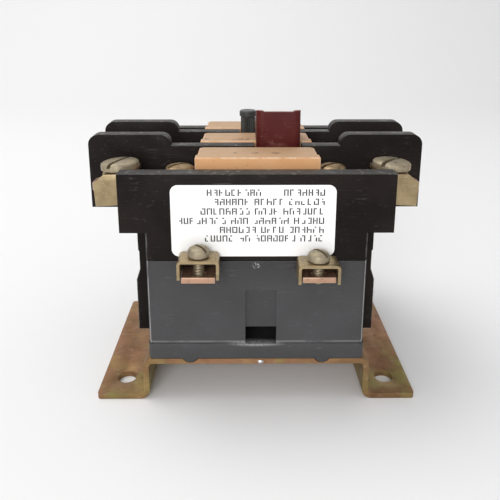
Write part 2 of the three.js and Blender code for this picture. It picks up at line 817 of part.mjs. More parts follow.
// A copper loop round the front part of an outer pole face
function shadingRing(side) {
  const innerX = [side * (coreHalf - outerLeg - gap), side * (coreHalf + gap)];
  const outerX = [innerX[0] - side * ringWire, innerX[1] + side * ringWire];
  const front = middle - stackDepth / 2 - gap;
  const z = [poleFace - ringDrop, poleFace - ringDrop + ringWire];
  const outer = block(outerX, [front - ringWire, ringBack], z);
  return cut(outer, block(innerX, [front, ringBack - ringWire], [z[0] - 1, z[1] + 1]));
}

function frameBlock(halfX, halfY, z) {
  return block([-halfX, halfX], [middle - halfY, middle + halfY], z);
}

function coilBobbin() {
  const boreX = centreLegHalf + gap;
  const boreY = stackDepth / 2 + gap;
  const tube = frameBlock(boreX + bobbinWall, boreY + bobbinWall, [bobbinBottom, bobbinTop]);
  const lower = frameBlock(bobbinHalf, bobbinLength / 2, [bobbinBottom, bobbinBottom + bobbinFlange]);
  const upper = frameBlock(bobbinHalf, bobbinLength / 2, [bobbinTop - bobbinFlange, bobbinTop]);
  return cut(join(tube, lower, upper), frameBlock(boreX, boreY, [bobbinBottom - 1, bobbinTop + 1]));
}

function coilWinding() {
  const z = [bobbinBottom + bobbinFlange + gap, bobbinTop - bobbinFlange - gap];
  const outer = frameBlock(bobbinHalf - windingInset, bobbinLength / 2 - windingInset, z);
  const holeX = centreLegHalf + bobbinWall + 2 * gap;
  const holeY = stackDepth / 2 + bobbinWall + 2 * gap;
  return cut(outer, frameBlock(holeX, holeY, [z[0] - 1, z[1] + 1]));
}

function magnetPad() {
  return frameBlock(coreHalf, stackDepth / 2, [coilFloor + gap, coilFloor + gap + padThick]);
}

// ---- Main terminals ----

// The stationary contact: terminal end, step up over the pedestal, drop to the contact arm
function stationaryStrap(pole, side) {
  const humpUnder = strapHumpTop - strapThick;
  const armUnder = strapArmTop - strapThick;
  const outline = [
    [strapTipX, strapTop],
    [strapHumpOut + strapSlope, strapTop],
    [strapHumpOut, strapHumpTop],
    [strapHumpIn, strapHumpTop],
    [strapHumpIn, strapArmTop],
    [strapArmEnd, strapArmTop],
    [strapArmEnd, armUnder],
    [strapHumpIn + strapLeg, armUnder],
    [strapHumpIn + strapLeg, humpUnder],
    [strapHumpOut - strapThick / 2, humpUnder],
    [strapHumpOut - strapThick / 2 + strapSlope, strapTop - strapThick],
    [strapTipX, strapTop - strapThick],
  ];
  const half = strapWidth / 2;
  const bent = profile(shapeOf(outline.map(([x, z]) => [side * x, z])), [-half, half]);
  const planX = [Math.min(0, side * strapTipX), Math.max(0, side * strapTipX)];
  const rounded = roundedRectangle(planX, [-half, half], strapTipCorner);
  const plan = slab(rounded, [armUnder - 1, strapHumpTop + 1]);
  const tip = post(contactRadius, [strapArmTop - 0.5, contactTop], side * contactX, 0, 14);
  const holes = [
    post(mainShankRadius + 1.5 * gap, [strapTop - 5, strapTop + 5], side * terminalX, 0),
    post(strapScrewRadius + 1.5 * gap, [strapTop, strapHumpTop + 5], side * strapScrewX, 0),
  ];
  return cut(join(bent.intersect(plan), tip), ...holes).translate([0, laneY(pole), 0]);
}

// A slotted dome-headed screw that holds the strap down on its pedestal
function strapScrew(pole, side) {
  const seat = strapScrewSeat;
  const top = seat + strapScrewHeadHeight;
  const outline = [
    [0, strapScrewTip],
    [strapScrewRadius, strapScrewTip],
    [strapScrewRadius, seat],
    [strapScrewHead, seat],
    [strapScrewHead, seat + strapScrewRim],
    [strapScrewHead * 0.75, top - strapScrewRim * 0.6],
    [strapScrewHead * 0.4, top],
    [0, top],
  ];
  const halfSlot = [-strapScrewSlot / 2, strapScrewSlot / 2];
  const slot = block([-strapScrewHead, strapScrewHead], halfSlot, [top - strapScrewSlot, top + 1]);
  const turn = 35 + 40 * pole; // where each slot came to rest, in degrees
  return cut(turned(outline), slot.rotate([0, 0, turn])).translate([side * strapScrewX, laneY(pole), 0]);
}

// Inverted-U saddle: a top plate under the screw head and two cheeks beside the strap
function terminalSaddle(side) {
  const plateZ = [saddlePlateLift, saddlePlateLift + saddlePlateThick];
  const inner = saddleInner / 2;
  const outer = inner + saddleSheet;
  const plate = block([-side * saddlePlateIn, side * saddlePlateOut], [-outer, outer], plateZ);
  const cheek = [
    [-cheekIn, -cheekDrop],
    [cheekOut, -cheekDrop],
    [cheekOut, plateZ[1] - cheekShoulder],
    [saddlePlateOut, plateZ[1]],
    [-cheekIn, plateZ[1]],
  ];
  const shape = shapeOf(cheek.map(([x, z]) => [side * x, z]));
  const cheeks = [profile(shape, [inner, outer]), profile(shape, [-outer, -inner])];
  const hole = post(mainShankRadius + gap, [plateZ[0] - 1, plateZ[1] + 1]);
  return cut(join(plate, ...cheeks), hole);
}

// A slotted screw standing on the given seat height, its slot turned by some degrees
function slottedScrew({ headRadius, headHeight, dome, shankRadius, seat, tip, slot, turn }) {
  const top = seat + headHeight;
  const outline = [
    [0, tip],
    [shankRadius - 0.4, tip],
    [shankRadius, tip + 0.6],
    [shankRadius, seat],
    [headRadius, seat],
    [headRadius, top - dome],
    [headRadius * 0.86, top - dome * 0.35],
    [headRadius * 0.5, top],
    [0, top],
  ];
  const width = headRadius + 1;
  const groove = block([-width, width], [-slot / 2, slot / 2], [top - headHeight * 0.5, top + 1]);
  return cut(turned(outline), groove.rotate([0, 0, turn]));
}

function terminalScrew(turn) {
  return slottedScrew({
    headRadius: mainHeadRadius,
    headHeight: mainHeadHeight,
    dome: 0.9,
    shankRadius: mainShankRadius,
    seat: saddlePlateLift + saddlePlateThick + gap / 2,
    tip: -mainShankTip,
    slot: mainSlot,
    turn,
  });
}

// ---- Coil terminals ----

function coilTab(x) {
  const half = coilTabWidth / 2;
  const z = [coilTabBottom, coilTabBottom + coilTabThick];
  const bar = block([x - half, x + half], [-coilTabReach, coilTabInner], z);
  return cut(bar, post(coilShankRadius + gap, [z[0] - 1, z[1] + 1], x, -coilScrewOut));
}

function coilSaddle(x, lift) {
  const top = coilSaddleTop + lift;
  const inner = coilSaddleInner / 2;
  const outer = inner + coilSaddleSheet;
  const y = [-coilSaddleFront, -coilSaddleBack];
  const under = [top - coilSaddleHeight - 1, top - coilSaddleSheet];
  const arch = cut(
    block([x - outer, x + outer], y, [top - coilSaddleHeight, top]),
    block([x - inner, x + inner], [y[0] - 1, y[1] + 1], under),
  );
  return cut(arch, post(coilShankRadius + gap, [top - 2, top + 1], x, -coilScrewOut));
}

function coilScrew(x, lift, turn) {
  const seat = coilSaddleTop + lift + gap / 2;
  const screw = slottedScrew({
    headRadius: coilHeadRadius,
    headHeight: coilHeadHeight,
    dome: 1.1,
    shankRadius: coilShankRadius,
    seat,
    tip: seat - coilShankLength,
    slot: coilSlot,
    turn,
  });
  return screw.translate([x, -coilScrewOut, 0]);
}

// ---- Assembly ----

addPiece("base_plate", basePlate(), "chromate");
addPiece("coil_housing", coilHousing(), "phenolic");
addPiece("contact_housing", contactHousing(), "phenolic");
addPiece("rating_label", ratingLabel(), "label");

addPiece("crossbar", crossbar(), "phenolic");
addPiece("armature", armature(), "steel");
addPiece("armature_pin", armaturePin(), "steel");
addPiece("actuator_tab", actuatorTab(), "maroon");
addPiece("test_plunger", testPlunger(), "knob");

addPiece("magnet_core", magnetCore(), "steel");
addPiece("magnet_pad", magnetPad(), "pad");
addPiece("coil_bobbin", coilBobbin(), "bobbin");
addPiece("coil_winding", coilWinding(), "winding");

const hands = [
  { side: -1, hand: "left", row: "line", end: "front" },
  { side: 1, hand: "right", row: "load", end: "rear" },
];
for (const { side, hand, end } of hands) {
  addPiece(`retaining_clip_${hand}`, retainingClip(side), "phenolic");
  addPiece(`housing_screw_${hand}`, housingScrew(side), "plated");
  addPiece(`shading_ring_${hand}`, shadingRing(side), "copper");
  addPiece(`return_spring_${end}`, returnSpring(side), "steel");
}

const slotTurns = { line: [66, 35, 100], load: [50, 125, 10] }; // where each slot came to rest, in degrees
for (let pole = 0; pole < poles; pole++) {
  const number = pole + 1;
  addPiece(`contact_carrier_${number}`, contactCarrier(pole), "tan");
  addPiece(`moving_bridge_${number}`, movingBridge(pole), "copper");
  addPiece(`contact_spring_${number}`, contactSpring(pole), "steel");
  for (const { side, row } of hands) {
    addPiece(`${row}_strap_${number}`, stationaryStrap(pole, side), "copper");
    addPiece(`${row}_strap_screw_${number}`, strapScrew(pole, side), "brass");
    const terminal = new THREE.Group();
    terminal.position.set(side * terminalX, laneY(pole), strapTop);
    terminal.rotation.y = side * terminalLean;
    addPiece(`${row}_saddle_${number}`, terminalSaddle(side), "plated", terminal);
    addPiece(`${row}_screw_${number}`, terminalScrew(slotTurns[row][pole]), "plated", terminal);
    contactor.add(terminal);
  }
}

coilTerminalX.forEach((x, index) => {
  const { hand } = hands[index];
  const lift = coilSaddleLift[index];
  addPiece(`coil_tab_${hand}`, coilTab(x), "copper");
  addPiece(`coil_saddle_${hand}`, coilSaddle(x, lift), "plated");
  addPiece(`coil_screw_${hand}`, coilScrew(x, lift, 140 - 6 * index), "plated");
});

// The origin is under the middle of the whole assembly's box
contactor.position.y = (coilSaddleFront - depth - bandProud) / 2;

export default contactor;
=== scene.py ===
import math
import random

import bmesh
import bpy
from mathutils import Matrix, Vector
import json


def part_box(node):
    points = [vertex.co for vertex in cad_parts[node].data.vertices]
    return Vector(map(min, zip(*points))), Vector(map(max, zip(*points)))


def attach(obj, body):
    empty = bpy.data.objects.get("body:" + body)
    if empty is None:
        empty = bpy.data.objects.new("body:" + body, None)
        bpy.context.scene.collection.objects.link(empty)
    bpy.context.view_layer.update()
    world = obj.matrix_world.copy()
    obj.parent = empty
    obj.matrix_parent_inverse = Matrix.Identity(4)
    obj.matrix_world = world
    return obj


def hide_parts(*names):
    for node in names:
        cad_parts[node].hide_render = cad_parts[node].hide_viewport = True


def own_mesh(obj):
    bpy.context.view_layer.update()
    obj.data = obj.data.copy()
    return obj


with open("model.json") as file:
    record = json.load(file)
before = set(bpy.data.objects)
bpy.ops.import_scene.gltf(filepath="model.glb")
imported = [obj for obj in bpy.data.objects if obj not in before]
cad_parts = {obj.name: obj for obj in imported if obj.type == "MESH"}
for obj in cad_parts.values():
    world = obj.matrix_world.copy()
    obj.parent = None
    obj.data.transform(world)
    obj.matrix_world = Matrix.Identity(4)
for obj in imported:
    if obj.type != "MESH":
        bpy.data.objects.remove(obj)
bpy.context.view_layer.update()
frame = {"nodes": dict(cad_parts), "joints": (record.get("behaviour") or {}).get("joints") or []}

MM = 0.001
joint_of = {joint["name"]: joint for joint in frame["joints"]}


# ---- Table, light and viewpoint ----
# The contactor stands on a pale sweep of card that curves up behind it. One broad light hangs over it
# to the left, one fills the front and one washes the card, so the shadows under the feet stay soft.

def card_sweep(half_width, front, back, rise, radius):
    sheet = bmesh.new()
    run = [(front, 0.0), (back - radius, 0.0)]
    for step in range(1, 13):
        angle = math.pi / 2 * step / 12
        run.append((back - radius + radius * math.sin(angle), radius - radius * math.cos(angle)))
    run.append((back, rise))
    rows = [[sheet.verts.new((x, y, z)) for x in (-half_width, half_width)] for y, z in run]
    for low, high in zip(rows, rows[1:]):
        sheet.faces.new((low[0], low[1], high[1], high[0]))
    mesh = bpy.data.meshes.new("card_sweep")
    sheet.to_mesh(mesh)
    sheet.free()
    mesh.shade_smooth()
    return mesh


card = bpy.data.materials.new("pale_card")
card.use_nodes = True
card_shader = card.node_tree.nodes["Principled BSDF"]
card_shader.inputs["Base Color"].default_value = (0.86, 0.86, 0.865, 1)
card_shader.inputs["Roughness"].default_value = 0.85
card_shader.inputs["Specular IOR Level"].default_value = 0.15
table = bpy.data.objects.new("card_sweep", card_sweep(2.2, -1.6, 0.95, 1.5, 0.45))
table.data.materials.append(card)
bpy.context.scene.collection.objects.link(table)

room = bpy.data.worlds.new("white_room")
room.use_nodes = True
room.node_tree.nodes["Background"].inputs["Color"].default_value = (1.0, 0.995, 0.99, 1)
room.node_tree.nodes["Background"].inputs["Strength"].default_value = 0.55
bpy.context.scene.world = room


def soft_light(name, place, aim, size, watts, colour=(1, 1, 1)):
    lamp = bpy.data.lights.new(name, "AREA")
    lamp.shape, lamp.size, lamp.energy, lamp.color = "SQUARE", size, watts, colour
    holder = bpy.data.objects.new(name, lamp)
    holder.location = place
    holder.rotation_euler = (Vector(aim) - Vector(place)).to_track_quat("-Z", "Y").to_euler()
    bpy.context.scene.collection.objects.link(holder)


soft_light("overhead", (-0.35, 0.12, 0.85), (0, 0.02, 0.03), 0.7, 2.8)
soft_light("front_fill", (-0.2, -0.95, 0.42), (0, 0, 0.04), 0.5, 5.0, (0.98, 0.99, 1.0))
soft_light("backdrop_wash", (-0.45, 0.25, 1.15), (-0.4, 0.8, 0.12), 0.8, 2.6, (1.0, 0.985, 0.96))

lens = bpy.data.cameras.new("bench_view")
lens.sensor_width = 36.0
lens.lens = 40.887
lens.shift_x, lens.shift_y = 0.0069, -0.17
lens.clip_start, lens.clip_end = 0.01, 10
viewpoint = bpy.data.objects.new("bench_view", lens)
viewpoint.location = (-3.37 * MM, -171.16 * MM, 105.15 * MM)
viewpoint.rotation_euler = (math.radians(90 - 14.51), 0, math.radians(-0.28))
bpy.context.scene.collection.objects.link(viewpoint)
bpy.context.scene.camera = viewpoint
bpy.context.scene.view_settings.view_transform = "Standard"


# ---- Foot plate ----
# One strip of 1.6 mm steel pressed into a raised platform between two feet, punched for four panel
# screws and plated with yellow zinc chromate, which has gone rose, olive and brown with age.

class Finish:
    """A surface built up in layers of solid noise: colour, gloss and relief"""

    def __init__(self, name, colour, metallic=0.0, roughness=0.5, specular=0.5):
        self.material = bpy.data.materials.new(name)
        self.material.use_nodes = True
        self.tree = self.material.node_tree
        self.shader = self.tree.nodes["Principled BSDF"]
        self.shader.inputs["Metallic"].default_value = metallic
        self.shader.inputs["Specular IOR Level"].default_value = specular
        self.place = self.node("TexCoord").outputs["Object"]
        self.colour = (*colour, 1)
        self.rough = roughness
        self.height = None

    def node(self, kind, settings=None, **inputs):
        made = self.tree.nodes.new("ShaderNode" + kind)
        for key, value in (settings or {}).items():
            setattr(made, key, value)
        for key, value in inputs.items():
            self.feed(made.inputs[key.replace("_", " ")], value)
        return made

    def feed(self, socket, value):
        if isinstance(value, bpy.types.NodeSocket):
            self.tree.links.new(value, socket)
        else:
            socket.default_value = value

    def ramp(self, value, low, high, start=0.0, end=1.0):
        made = self.node("MapRange", Value=value, From_Min=low, From_Max=high)
        made.inputs["To Min"].default_value = start
        made.inputs["To Max"].default_value = end
        return made.outputs["Result"]

    def maths(self, operation, a, b=0.0):
        made = self.node("Math", {"operation": operation})
        self.feed(made.inputs[0], a)
        self.feed(made.inputs[1], b)
        return made.outputs[0]

    def noise(self, size, detail=3.0, stretch=(1, 1, 1), turn=(0, 0, 0), shift=0.0):
        """Raw noise with features of that size, in metres"""
        laid = self.node("Mapping", Vector=self.place)
        laid.inputs["Scale"].default_value = stretch
        laid.inputs["Rotation"].default_value = [math.radians(a) for a in turn]
        laid.inputs["Location"].default_value = (shift, shift * 0.7, -shift)
        made = self.node("TexNoise", Vector=laid.outputs[0], Scale=1.0 / size, Detail=detail)
        return made.outputs["Fac"]

    def patches(self, size, low, high, **laid):
        return self.ramp(self.noise(size, **laid), low, high)

    def scratches(self, size, width, turn=(0, 0, 0), shift=0.0, run=14.0):
        """Thin broken lines, much longer than they are wide"""
        lines = self.noise(size, 1.0, (1.0 / run, 1.0, 1.0), turn, shift)
        near = self.maths("ABSOLUTE", self.maths("SUBTRACT", lines, 0.5))
        thin = self.ramp(near, 0.0, width, 1.0, 0.0)
        return self.maths("MULTIPLY", thin, self.patches(size * 4, 0.52, 0.68, shift=shift + 0.3))

    def upward(self, low=0.4, high=0.9):
        """Faces that look up"""
        normal = self.node("TexCoord").outputs["Normal"]
        return self.ramp(self.node("SeparateXYZ", Vector=normal).outputs["Z"], low, high)

    def spot(self, centre, reach):
        """One mark at a place on the piece, fading out over its reach"""
        moved = self.node("Mapping", {"vector_type": "TEXTURE"}, Vector=self.place)
        moved.inputs["Location"].default_value = centre
        moved.inputs["Scale"].default_value = reach
        away = self.node("VectorMath", {"operation": "LENGTH"}, Vector=moved.outputs[0])
        return self.ramp(away.outputs["Value"], 1.0, 0.35)

    def tint(self, mask, colour, amount=1.0):
        made = self.node("Mix", {"data_type": "RGBA", "clamp_factor": True})
        self.feed(made.inputs[0], self.maths("MULTIPLY", mask, amount))
        self.feed(made.inputs[6], self.colour)
        self.feed(made.inputs[7], (*colour, 1))
        self.colour = made.outputs[2]
        return self

    def gloss(self, mask, amount):
        self.rough = self.maths("ADD", self.maths("MULTIPLY", mask, amount), self.rough)
        return self

    def relief(self, mask, depth):
        """Depth in metres; grooves are negative"""
        grown = self.maths("MULTIPLY", mask, depth)
        self.height = grown if self.height is None else self.maths("ADD", self.height, grown)
        return self

    def done(self):
        self.feed(self.shader.inputs["Base Color"], self.colour)
        self.feed(self.shader.inputs["Roughness"], self.rough)
        if self.height is not None:
            bump = self.node("Bump", Height=self.height, Distance=1.0, Strength=1.0)
            self.tree.links.new(bump.outputs[0], self.shader.inputs["Normal"])
        return self.material


def chromate(name, worn=0.0):
    plate = Finish(name, (0.25, 0.145, 0.066), metallic=0.8, roughness=0.38)
    plate.tint(plate.patches(0.016, 0.42, 0.62, shift=0.2), (0.36, 0.18, 0.105), 0.8)
    plate.tint(plate.patches(0.012, 0.50, 0.64, shift=1.1), (0.29, 0.255, 0.085), 0.8)
    plate.tint(plate.patches(0.008, 0.52, 0.70, shift=2.3), (0.40, 0.245, 0.105), 0.7)
    plate.tint(plate.patches(0.0035, 0.56, 0.72, shift=3.1), (0.20, 0.10, 0.05), 0.6)
    plate.tint(plate.patches(0.0012, 0.60, 0.72, shift=4.2), (0.15, 0.08, 0.04), 0.5)
    plate.tint(plate.scratches(0.0006, 0.02, (10, 20, 30)), (0.70, 0.55, 0.40), 0.6)
    if worn:
        plate.tint(plate.patches(0.0040, 0.40, 0.60, shift=5.0), (0.085, 0.055, 0.035), worn)
    plate.gloss(plate.patches(0.005, 0.35, 0.7, shift=6.0), 0.22)
    plate.relief(plate.noise(0.0008, 4.0), 0.00002)
    return plate.done()


def filleted(points, radius, steps=8):
    """A path with an arc of that radius at each inner corner"""
    corners = [Vector(point) for point in points]
    path = [corners[0]]
    for before, corner, after in zip(corners, corners[1:], corners[2:]):
        inward, outward = (before - corner).normalized(), (after - corner).normalized()
        half = inward.angle(outward) / 2
        centre = corner + (inward + outward).normalized() * (radius / math.sin(half))
        reach = radius / math.tan(half)
        first, last = corner + inward * reach - centre, corner + outward * reach - centre
        path += [centre + first.slerp(last, step / steps) * radius for step in range(steps + 1)]
    return path + [corners[-1]]


def bent_sheet(path, thickness, span, carry):
    """A strip of sheet along a path in a plane, as wide as span(point) says, put in place by carry"""
    form = bmesh.new()
    rings = []
    for index, point in enumerate(path):
        ahead = path[min(index + 1, len(path) - 1)] - point
        behind = point - path[max(index - 1, 0)]
        ways = [way.normalized() for way in (behind, ahead) if way.length > 0]
        along = sum(ways, Vector((0, 0))).normalized()
        across = Vector((-along.y, along.x)) * (thickness / 2 / max(along.dot(ways[0]), 0.5))
        low, high = span(point)
        upper, lower = point + across, point - across
        sides = [(upper, low), (upper, high), (lower, high), (lower, low)]
        rings.append([form.verts.new(carry(*flat, wide)) for flat, wide in sides])
    for first, second in zip(rings, rings[1:]):
        for corner in range(4):
            following = (corner + 1) % 4
            form.faces.new((first[corner], first[following], second[following], second[corner]))
    form.faces.new(rings[0])
    form.faces.new(rings[-1][::-1])
    bmesh.ops.recalc_face_normals(form, faces=form.faces)
    return form


def turned_form(outline, steps=48, swell=None):
    """A closed form turned about z; swell adds to the radius at an angle and height"""
    form = bmesh.new()
    rings = []
    for radius, height in outline:
        if radius <= 0:
            rings.append([form.verts.new((0, 0, height))])
            continue
        ring = []
        for step in range(steps):
            angle = 2 * math.pi * step / steps
            grown = radius + (swell(angle, height, radius) if swell else 0.0)
            ring.append(form.verts.new((grown * math.cos(angle), grown * math.sin(angle), height)))
        rings.append(ring)
    for low, high in zip(rings, rings[1:]):
        for step in range(steps):
            after = (step + 1) % steps
            if len(low) == 1 and len(high) > 1:
                form.faces.new((low[0], high[after], high[step]))
            elif len(high) == 1 and len(low) > 1:
                form.faces.new((low[step], low[after], high[0]))
            elif len(low) > 1:
                form.faces.new((low[step], low[after], high[after], high[step]))
    bmesh.ops.recalc_face_normals(form, faces=form.faces)
    return form


def plug(radius, low, high, x=0.0, y=0.0, steps=48):
    form = turned_form([(0, low), (radius, low), (radius, high), (0, high)], steps)
    bmesh.ops.translate(form, verts=form.verts, vec=(x, y, 0))
    return form


def brick(low, high):
    form = bmesh.new()
    size = [b - a for a, b in zip(low, high)]
    middle = [(a + b) / 2 for a, b in zip(low, high)]
    bmesh.ops.create_cube(form, size=1, matrix=Matrix.Translation(middle) @ Matrix.Diagonal((*size, 1)))
    return form


def carved(form, tool, operation="DIFFERENCE"):
    """The form with a tool taken out of it, joined to it or kept in common with it"""
    shapes = []
    for part in (form, tool):
        mesh = bpy.data.meshes.new("blank")
        part.to_mesh(mesh)
        part.free()
        shapes.append(bpy.data.objects.new("blank", mesh))
        bpy.context.scene.collection.objects.link(shapes[-1])
    cut = shapes[0].modifiers.new("cut", "BOOLEAN")
    cut.operation, cut.object, cut.solver = operation, shapes[1], "EXACT"
    bpy.context.view_layer.update()
    result = bmesh.new()
    result.from_mesh(shapes[0].evaluated_get(bpy.context.evaluated_depsgraph_get()).to_mesh())
    for shape in shapes:
        mesh = shape.data
        bpy.data.objects.remove(shape)
        bpy.data.meshes.remove(mesh)
    bmesh.ops.remove_doubles(result, verts=result.verts, dist=1e-6)
    bmesh.ops.dissolve_limit(
        result, angle_limit=math.radians(0.5), verts=result.verts, edges=result.edges
    )
    return result


def eased(form, width, segments=2, sharper=30, shortest=0.0003, where=None):
    """Rounds the sharp edges; the new strips take the second material"""
    edges = []
    for edge in form.edges:
        if len(edge.link_faces) != 2 or edge.calc_length() < shortest:
            continue
        if edge.calc_face_angle(0) < math.radians(sharper):
            continue
        if where is None or where((edge.verts[0].co + edge.verts[1].co) / 2):
            edges.append(edge)
    bmesh.ops.bevel(
        form, geom=edges, offset=width, offset_type="OFFSET", segments=segments, profile=0.5,
        affect="EDGES", clamp_overlap=True, material=1,
    )
    return form


def finished(form, name, materials, body, *nodes, crease=35, slot=None):
    """Turns a form into a piece of the contactor that stands for CAD nodes"""
    mesh = bpy.data.meshes.new(name)
    bmesh.ops.recalc_face_normals(form, faces=form.faces)
    form.to_mesh(mesh)
    form.free()
    if "custom_normal" in mesh.attributes:
        mesh.attributes.remove(mesh.attributes["custom_normal"])
    for material in materials:
        mesh.materials.append(material)
    mesh.shade_smooth()
    mesh.set_sharp_from_angle(angle=math.radians(crease))
    piece = bpy.data.objects.new(name, mesh)
    bpy.context.scene.collection.objects.link(piece)
    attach(piece, body)
    if nodes:
        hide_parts(*nodes)
    return piece


plate_low, plate_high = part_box("base_plate")
plate_sheet = 1.6 * MM
plate_mid_bend = 2.0 * MM
plate_riser = plate_high.x - 14.15 * MM
plate_corner = 1.0 * MM
panel_hole, screw_hole = 2.7 * MM, 2.3 * MM
panel_hole_x = plate_high.x - 7.05 * MM
panel_hole_inset = 7.9 * MM
lug_notch_x, lug_notch, lug_notch_reach = 18.4 * MM, 2.4 * MM, 2.7 * MM
lug_notch_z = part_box("coil_housing")[0].z + 2.1 * MM

plate_level = plate_high.z - plate_sheet / 2
foot_level = plate_sheet / 2
plate_path = [(-plate_high.x, foot_level), (-plate_riser, foot_level), (-plate_riser, plate_level)]
plate_path += [(-x, z) for x, z in reversed(plate_path)]
plate_form = bent_sheet(
    filleted(plate_path, plate_mid_bend),
    plate_sheet,
    lambda point: (plate_low.y, plate_high.y),
    lambda x, z, y: (x, y, z),
)
corner_path = [
    (plate_low.x, 0), (plate_low.x, plate_low.y), (plate_high.x, plate_low.y),
    (plate_high.x, plate_high.y), (plate_low.x, plate_high.y), (plate_low.x, 0),
]
blank = bmesh.new()
blank.faces.new([blank.verts.new((*point, -MM)) for point in filleted(corner_path, plate_corner)[:-1]])
raised = bmesh.ops.extrude_face_region(blank, geom=blank.faces[:])
bmesh.ops.translate(
    blank, vec=(0, 0, plate_high.z + 2 * MM),
    verts=[part for part in raised["geom"] if isinstance(part, bmesh.types.BMVert)],
)
bmesh.ops.recalc_face_normals(blank, faces=blank.faces)
plate_form = carved(plate_form, blank, "INTERSECT")
for side in (-1, 1):
    for y in (plate_low.y + panel_hole_inset, plate_high.y - panel_hole_inset):
        plate_form = carved(plate_form, plug(panel_hole, -MM, 3 * MM, side * panel_hole_x, y))
    notch = plug(lug_notch, -MM, lug_notch_reach)
    bmesh.ops.rotate(notch, verts=notch.verts, cent=(0, 0, 0), matrix=Matrix.Rotation(-math.pi / 2, 3, "X"))
    bmesh.ops.translate(notch, verts=notch.verts, vec=(side * lug_notch_x, plate_low.y, lug_notch_z))
    plate_form = carved(plate_form, notch)
    screw_low, screw_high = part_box("housing_screw_left" if side < 0 else "housing_screw_right")
    screw_at = (screw_low + screw_high) / 2
    plate_form = carved(
        plate_form, plug(screw_hole, plate_level - 2 * MM, plate_high.z + MM, screw_at.x, screw_at.y)
    )
eased(plate_form, 0.22 * MM)
plate_finishes = [chromate("chromate"), chromate("chromate_edge", 0.85)]
finished(plate_form, "foot_plate", plate_finishes, "root", "base_plate")

# The tie that held the strip in the press is snapped off and shows bare steel
nub = Finish("bare_steel", (0.75, 0.76, 0.77), metallic=1.0, roughness=0.3)
nub.gloss(nub.patches(0.0005, 0.4, 0.6), 0.2)
nub_form = turned_form([(0, -0.5 * MM), (0.5 * MM, -0.45 * MM), (0.8 * MM, -0.1 * MM),
                        (0.85 * MM, 0.25 * MM), (0.6 * MM, 0.55 * MM), (0, 0.65 * MM)], 24)
bmesh.ops.scale(nub_form, vec=(1.1, 0.7, 0.95), verts=nub_form.verts)
bmesh.ops.translate(nub_form, vec=(1.2 * MM, plate_low.y, plate_level - 0.1 * MM), verts=nub_form.verts)
finished(nub_form, "snapped_tie", [nub.done()], "root", slot="plated_steel")


# ---- Coil housing ----
# The lower shell, moulded in charcoal phenolic, holds the magnet and the coil. A plinth band runs
# round its foot, under a recessed window with a through slot. Its upright corners and the band's top edge
# carry a painted highlight, and painted shade darkens it towards the seam.

def copied_form(node):
    """The node's own shape with its flat faces made whole"""
    form = bmesh.new()
    form.from_mesh(frame["nodes"][node].data)
    bmesh.ops.remove_doubles(form, verts=form.verts, dist=2e-6)
    bmesh.ops.dissolve_limit(form, angle_limit=math.radians(0.5), verts=form.verts, edges=form.edges)
    return form


shell_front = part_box("rating_label")[1].y
seam_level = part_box("coil_housing")[1].z
band_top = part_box("coil_housing")[0].z + 6.5 * MM


def grey_moulding(name, worn=0.0):
    shell = Finish(name, (0.044, 0.044, 0.0455), roughness=0.47, specular=0.36)
    shell.tint(shell.patches(0.02, 0.35, 0.7, shift=0.4), (0.060, 0.060, 0.063), 0.8)
    # Painted shade: the shell is darker towards the seam, under the upper shell.
    shell.tint(shell.spot((0, 0, seam_level), (60 * MM, 60 * MM, 9 * MM)), (0.030, 0.027, 0.026), 0.75)
    # Painted highlight: a light line along the top edge of the plinth band.
    painted_band_highlight = shell.spot((0, shell_front, band_top - 0.1 * MM), (90 * MM, 8 * MM, 0.35 * MM))
    painted_band_highlight = shell.maths("MULTIPLY", painted_band_highlight, shell.patches(0.004, 0.30, 0.50, shift=6.6))
    shell.tint(painted_band_highlight, (0.20, 0.20, 0.195), 0.7)
    shell.tint(shell.patches(0.0006, 0.66, 0.78, detail=1.0, shift=7.7), (0.16, 0.16, 0.165), 0.15)
    shell.tint(shell.scratches(0.0008, 0.012, (15, 35, 20)), (0.20, 0.20, 0.20), 0.3)
    shell.tint(shell.scratches(0.0010, 0.010, (75, 10, 80), 1.7), (0.22, 0.22, 0.22), 0.3)
    scuff = shell.spot((0, shell_front, band_top - 0.75 * MM), (8.5 * MM, 3 * MM, 0.95 * MM))
    scuff = shell.maths("MULTIPLY", scuff, shell.patches(0.0006, 0.28, 0.48))
    shell.tint(scuff, (0.30, 0.30, 0.295), 0.85)
    star = shell.spot((0.2 * MM, shell_front, seam_level - 1.2 * MM), (1.5 * MM, 2 * MM, 1.3 * MM))
    star = shell.maths("MULTIPLY", star, shell.patches(0.0004, 0.52, 0.60, shift=9.0))
    shell.tint(star, (0.50, 0.50, 0.50), 0.8)
    # The edge copy is lighter in patches: wear on the bevelled edges, and a painted highlight on the
    # upright corners that take it.
    if worn:
        shell.tint(shell.patches(0.006, 0.28, 0.50, shift=3.3), (0.30, 0.30, 0.30), worn)
    shell.gloss(shell.patches(0.006, 0.4, 0.7, shift=2.2), 0.12)
    shell.relief(shell.noise(0.0005, 3.0), 0.000006)
    return shell.done()


def painted_corner_highlights(form):
    """The middle facet of each upright rounded corner takes the second, lighter material as a painted
    highlight
    """
    for face in form.faces:
        away = face.normal
        if abs(away.z) < 0.05 and min(abs(away.x), abs(away.y)) > 0.6 and face.calc_area() > (MM ** 2):
            face.material_index = 1
    return form


grey_shell = [grey_moulding("charcoal_phenolic"), grey_moulding("charcoal_phenolic_edge", 0.95)]
coil_form = painted_corner_highlights(eased(copied_form("coil_housing"), 0.2 * MM))
finished(coil_form, "coil_shell", grey_shell, "root", "coil_housing")


# ---- Contact housing ----
# The upper shell, moulded in brown-black phenolic: a floor with a wall at the front and the back, and
# two barriers that stand between the poles and reach out past their terminals.

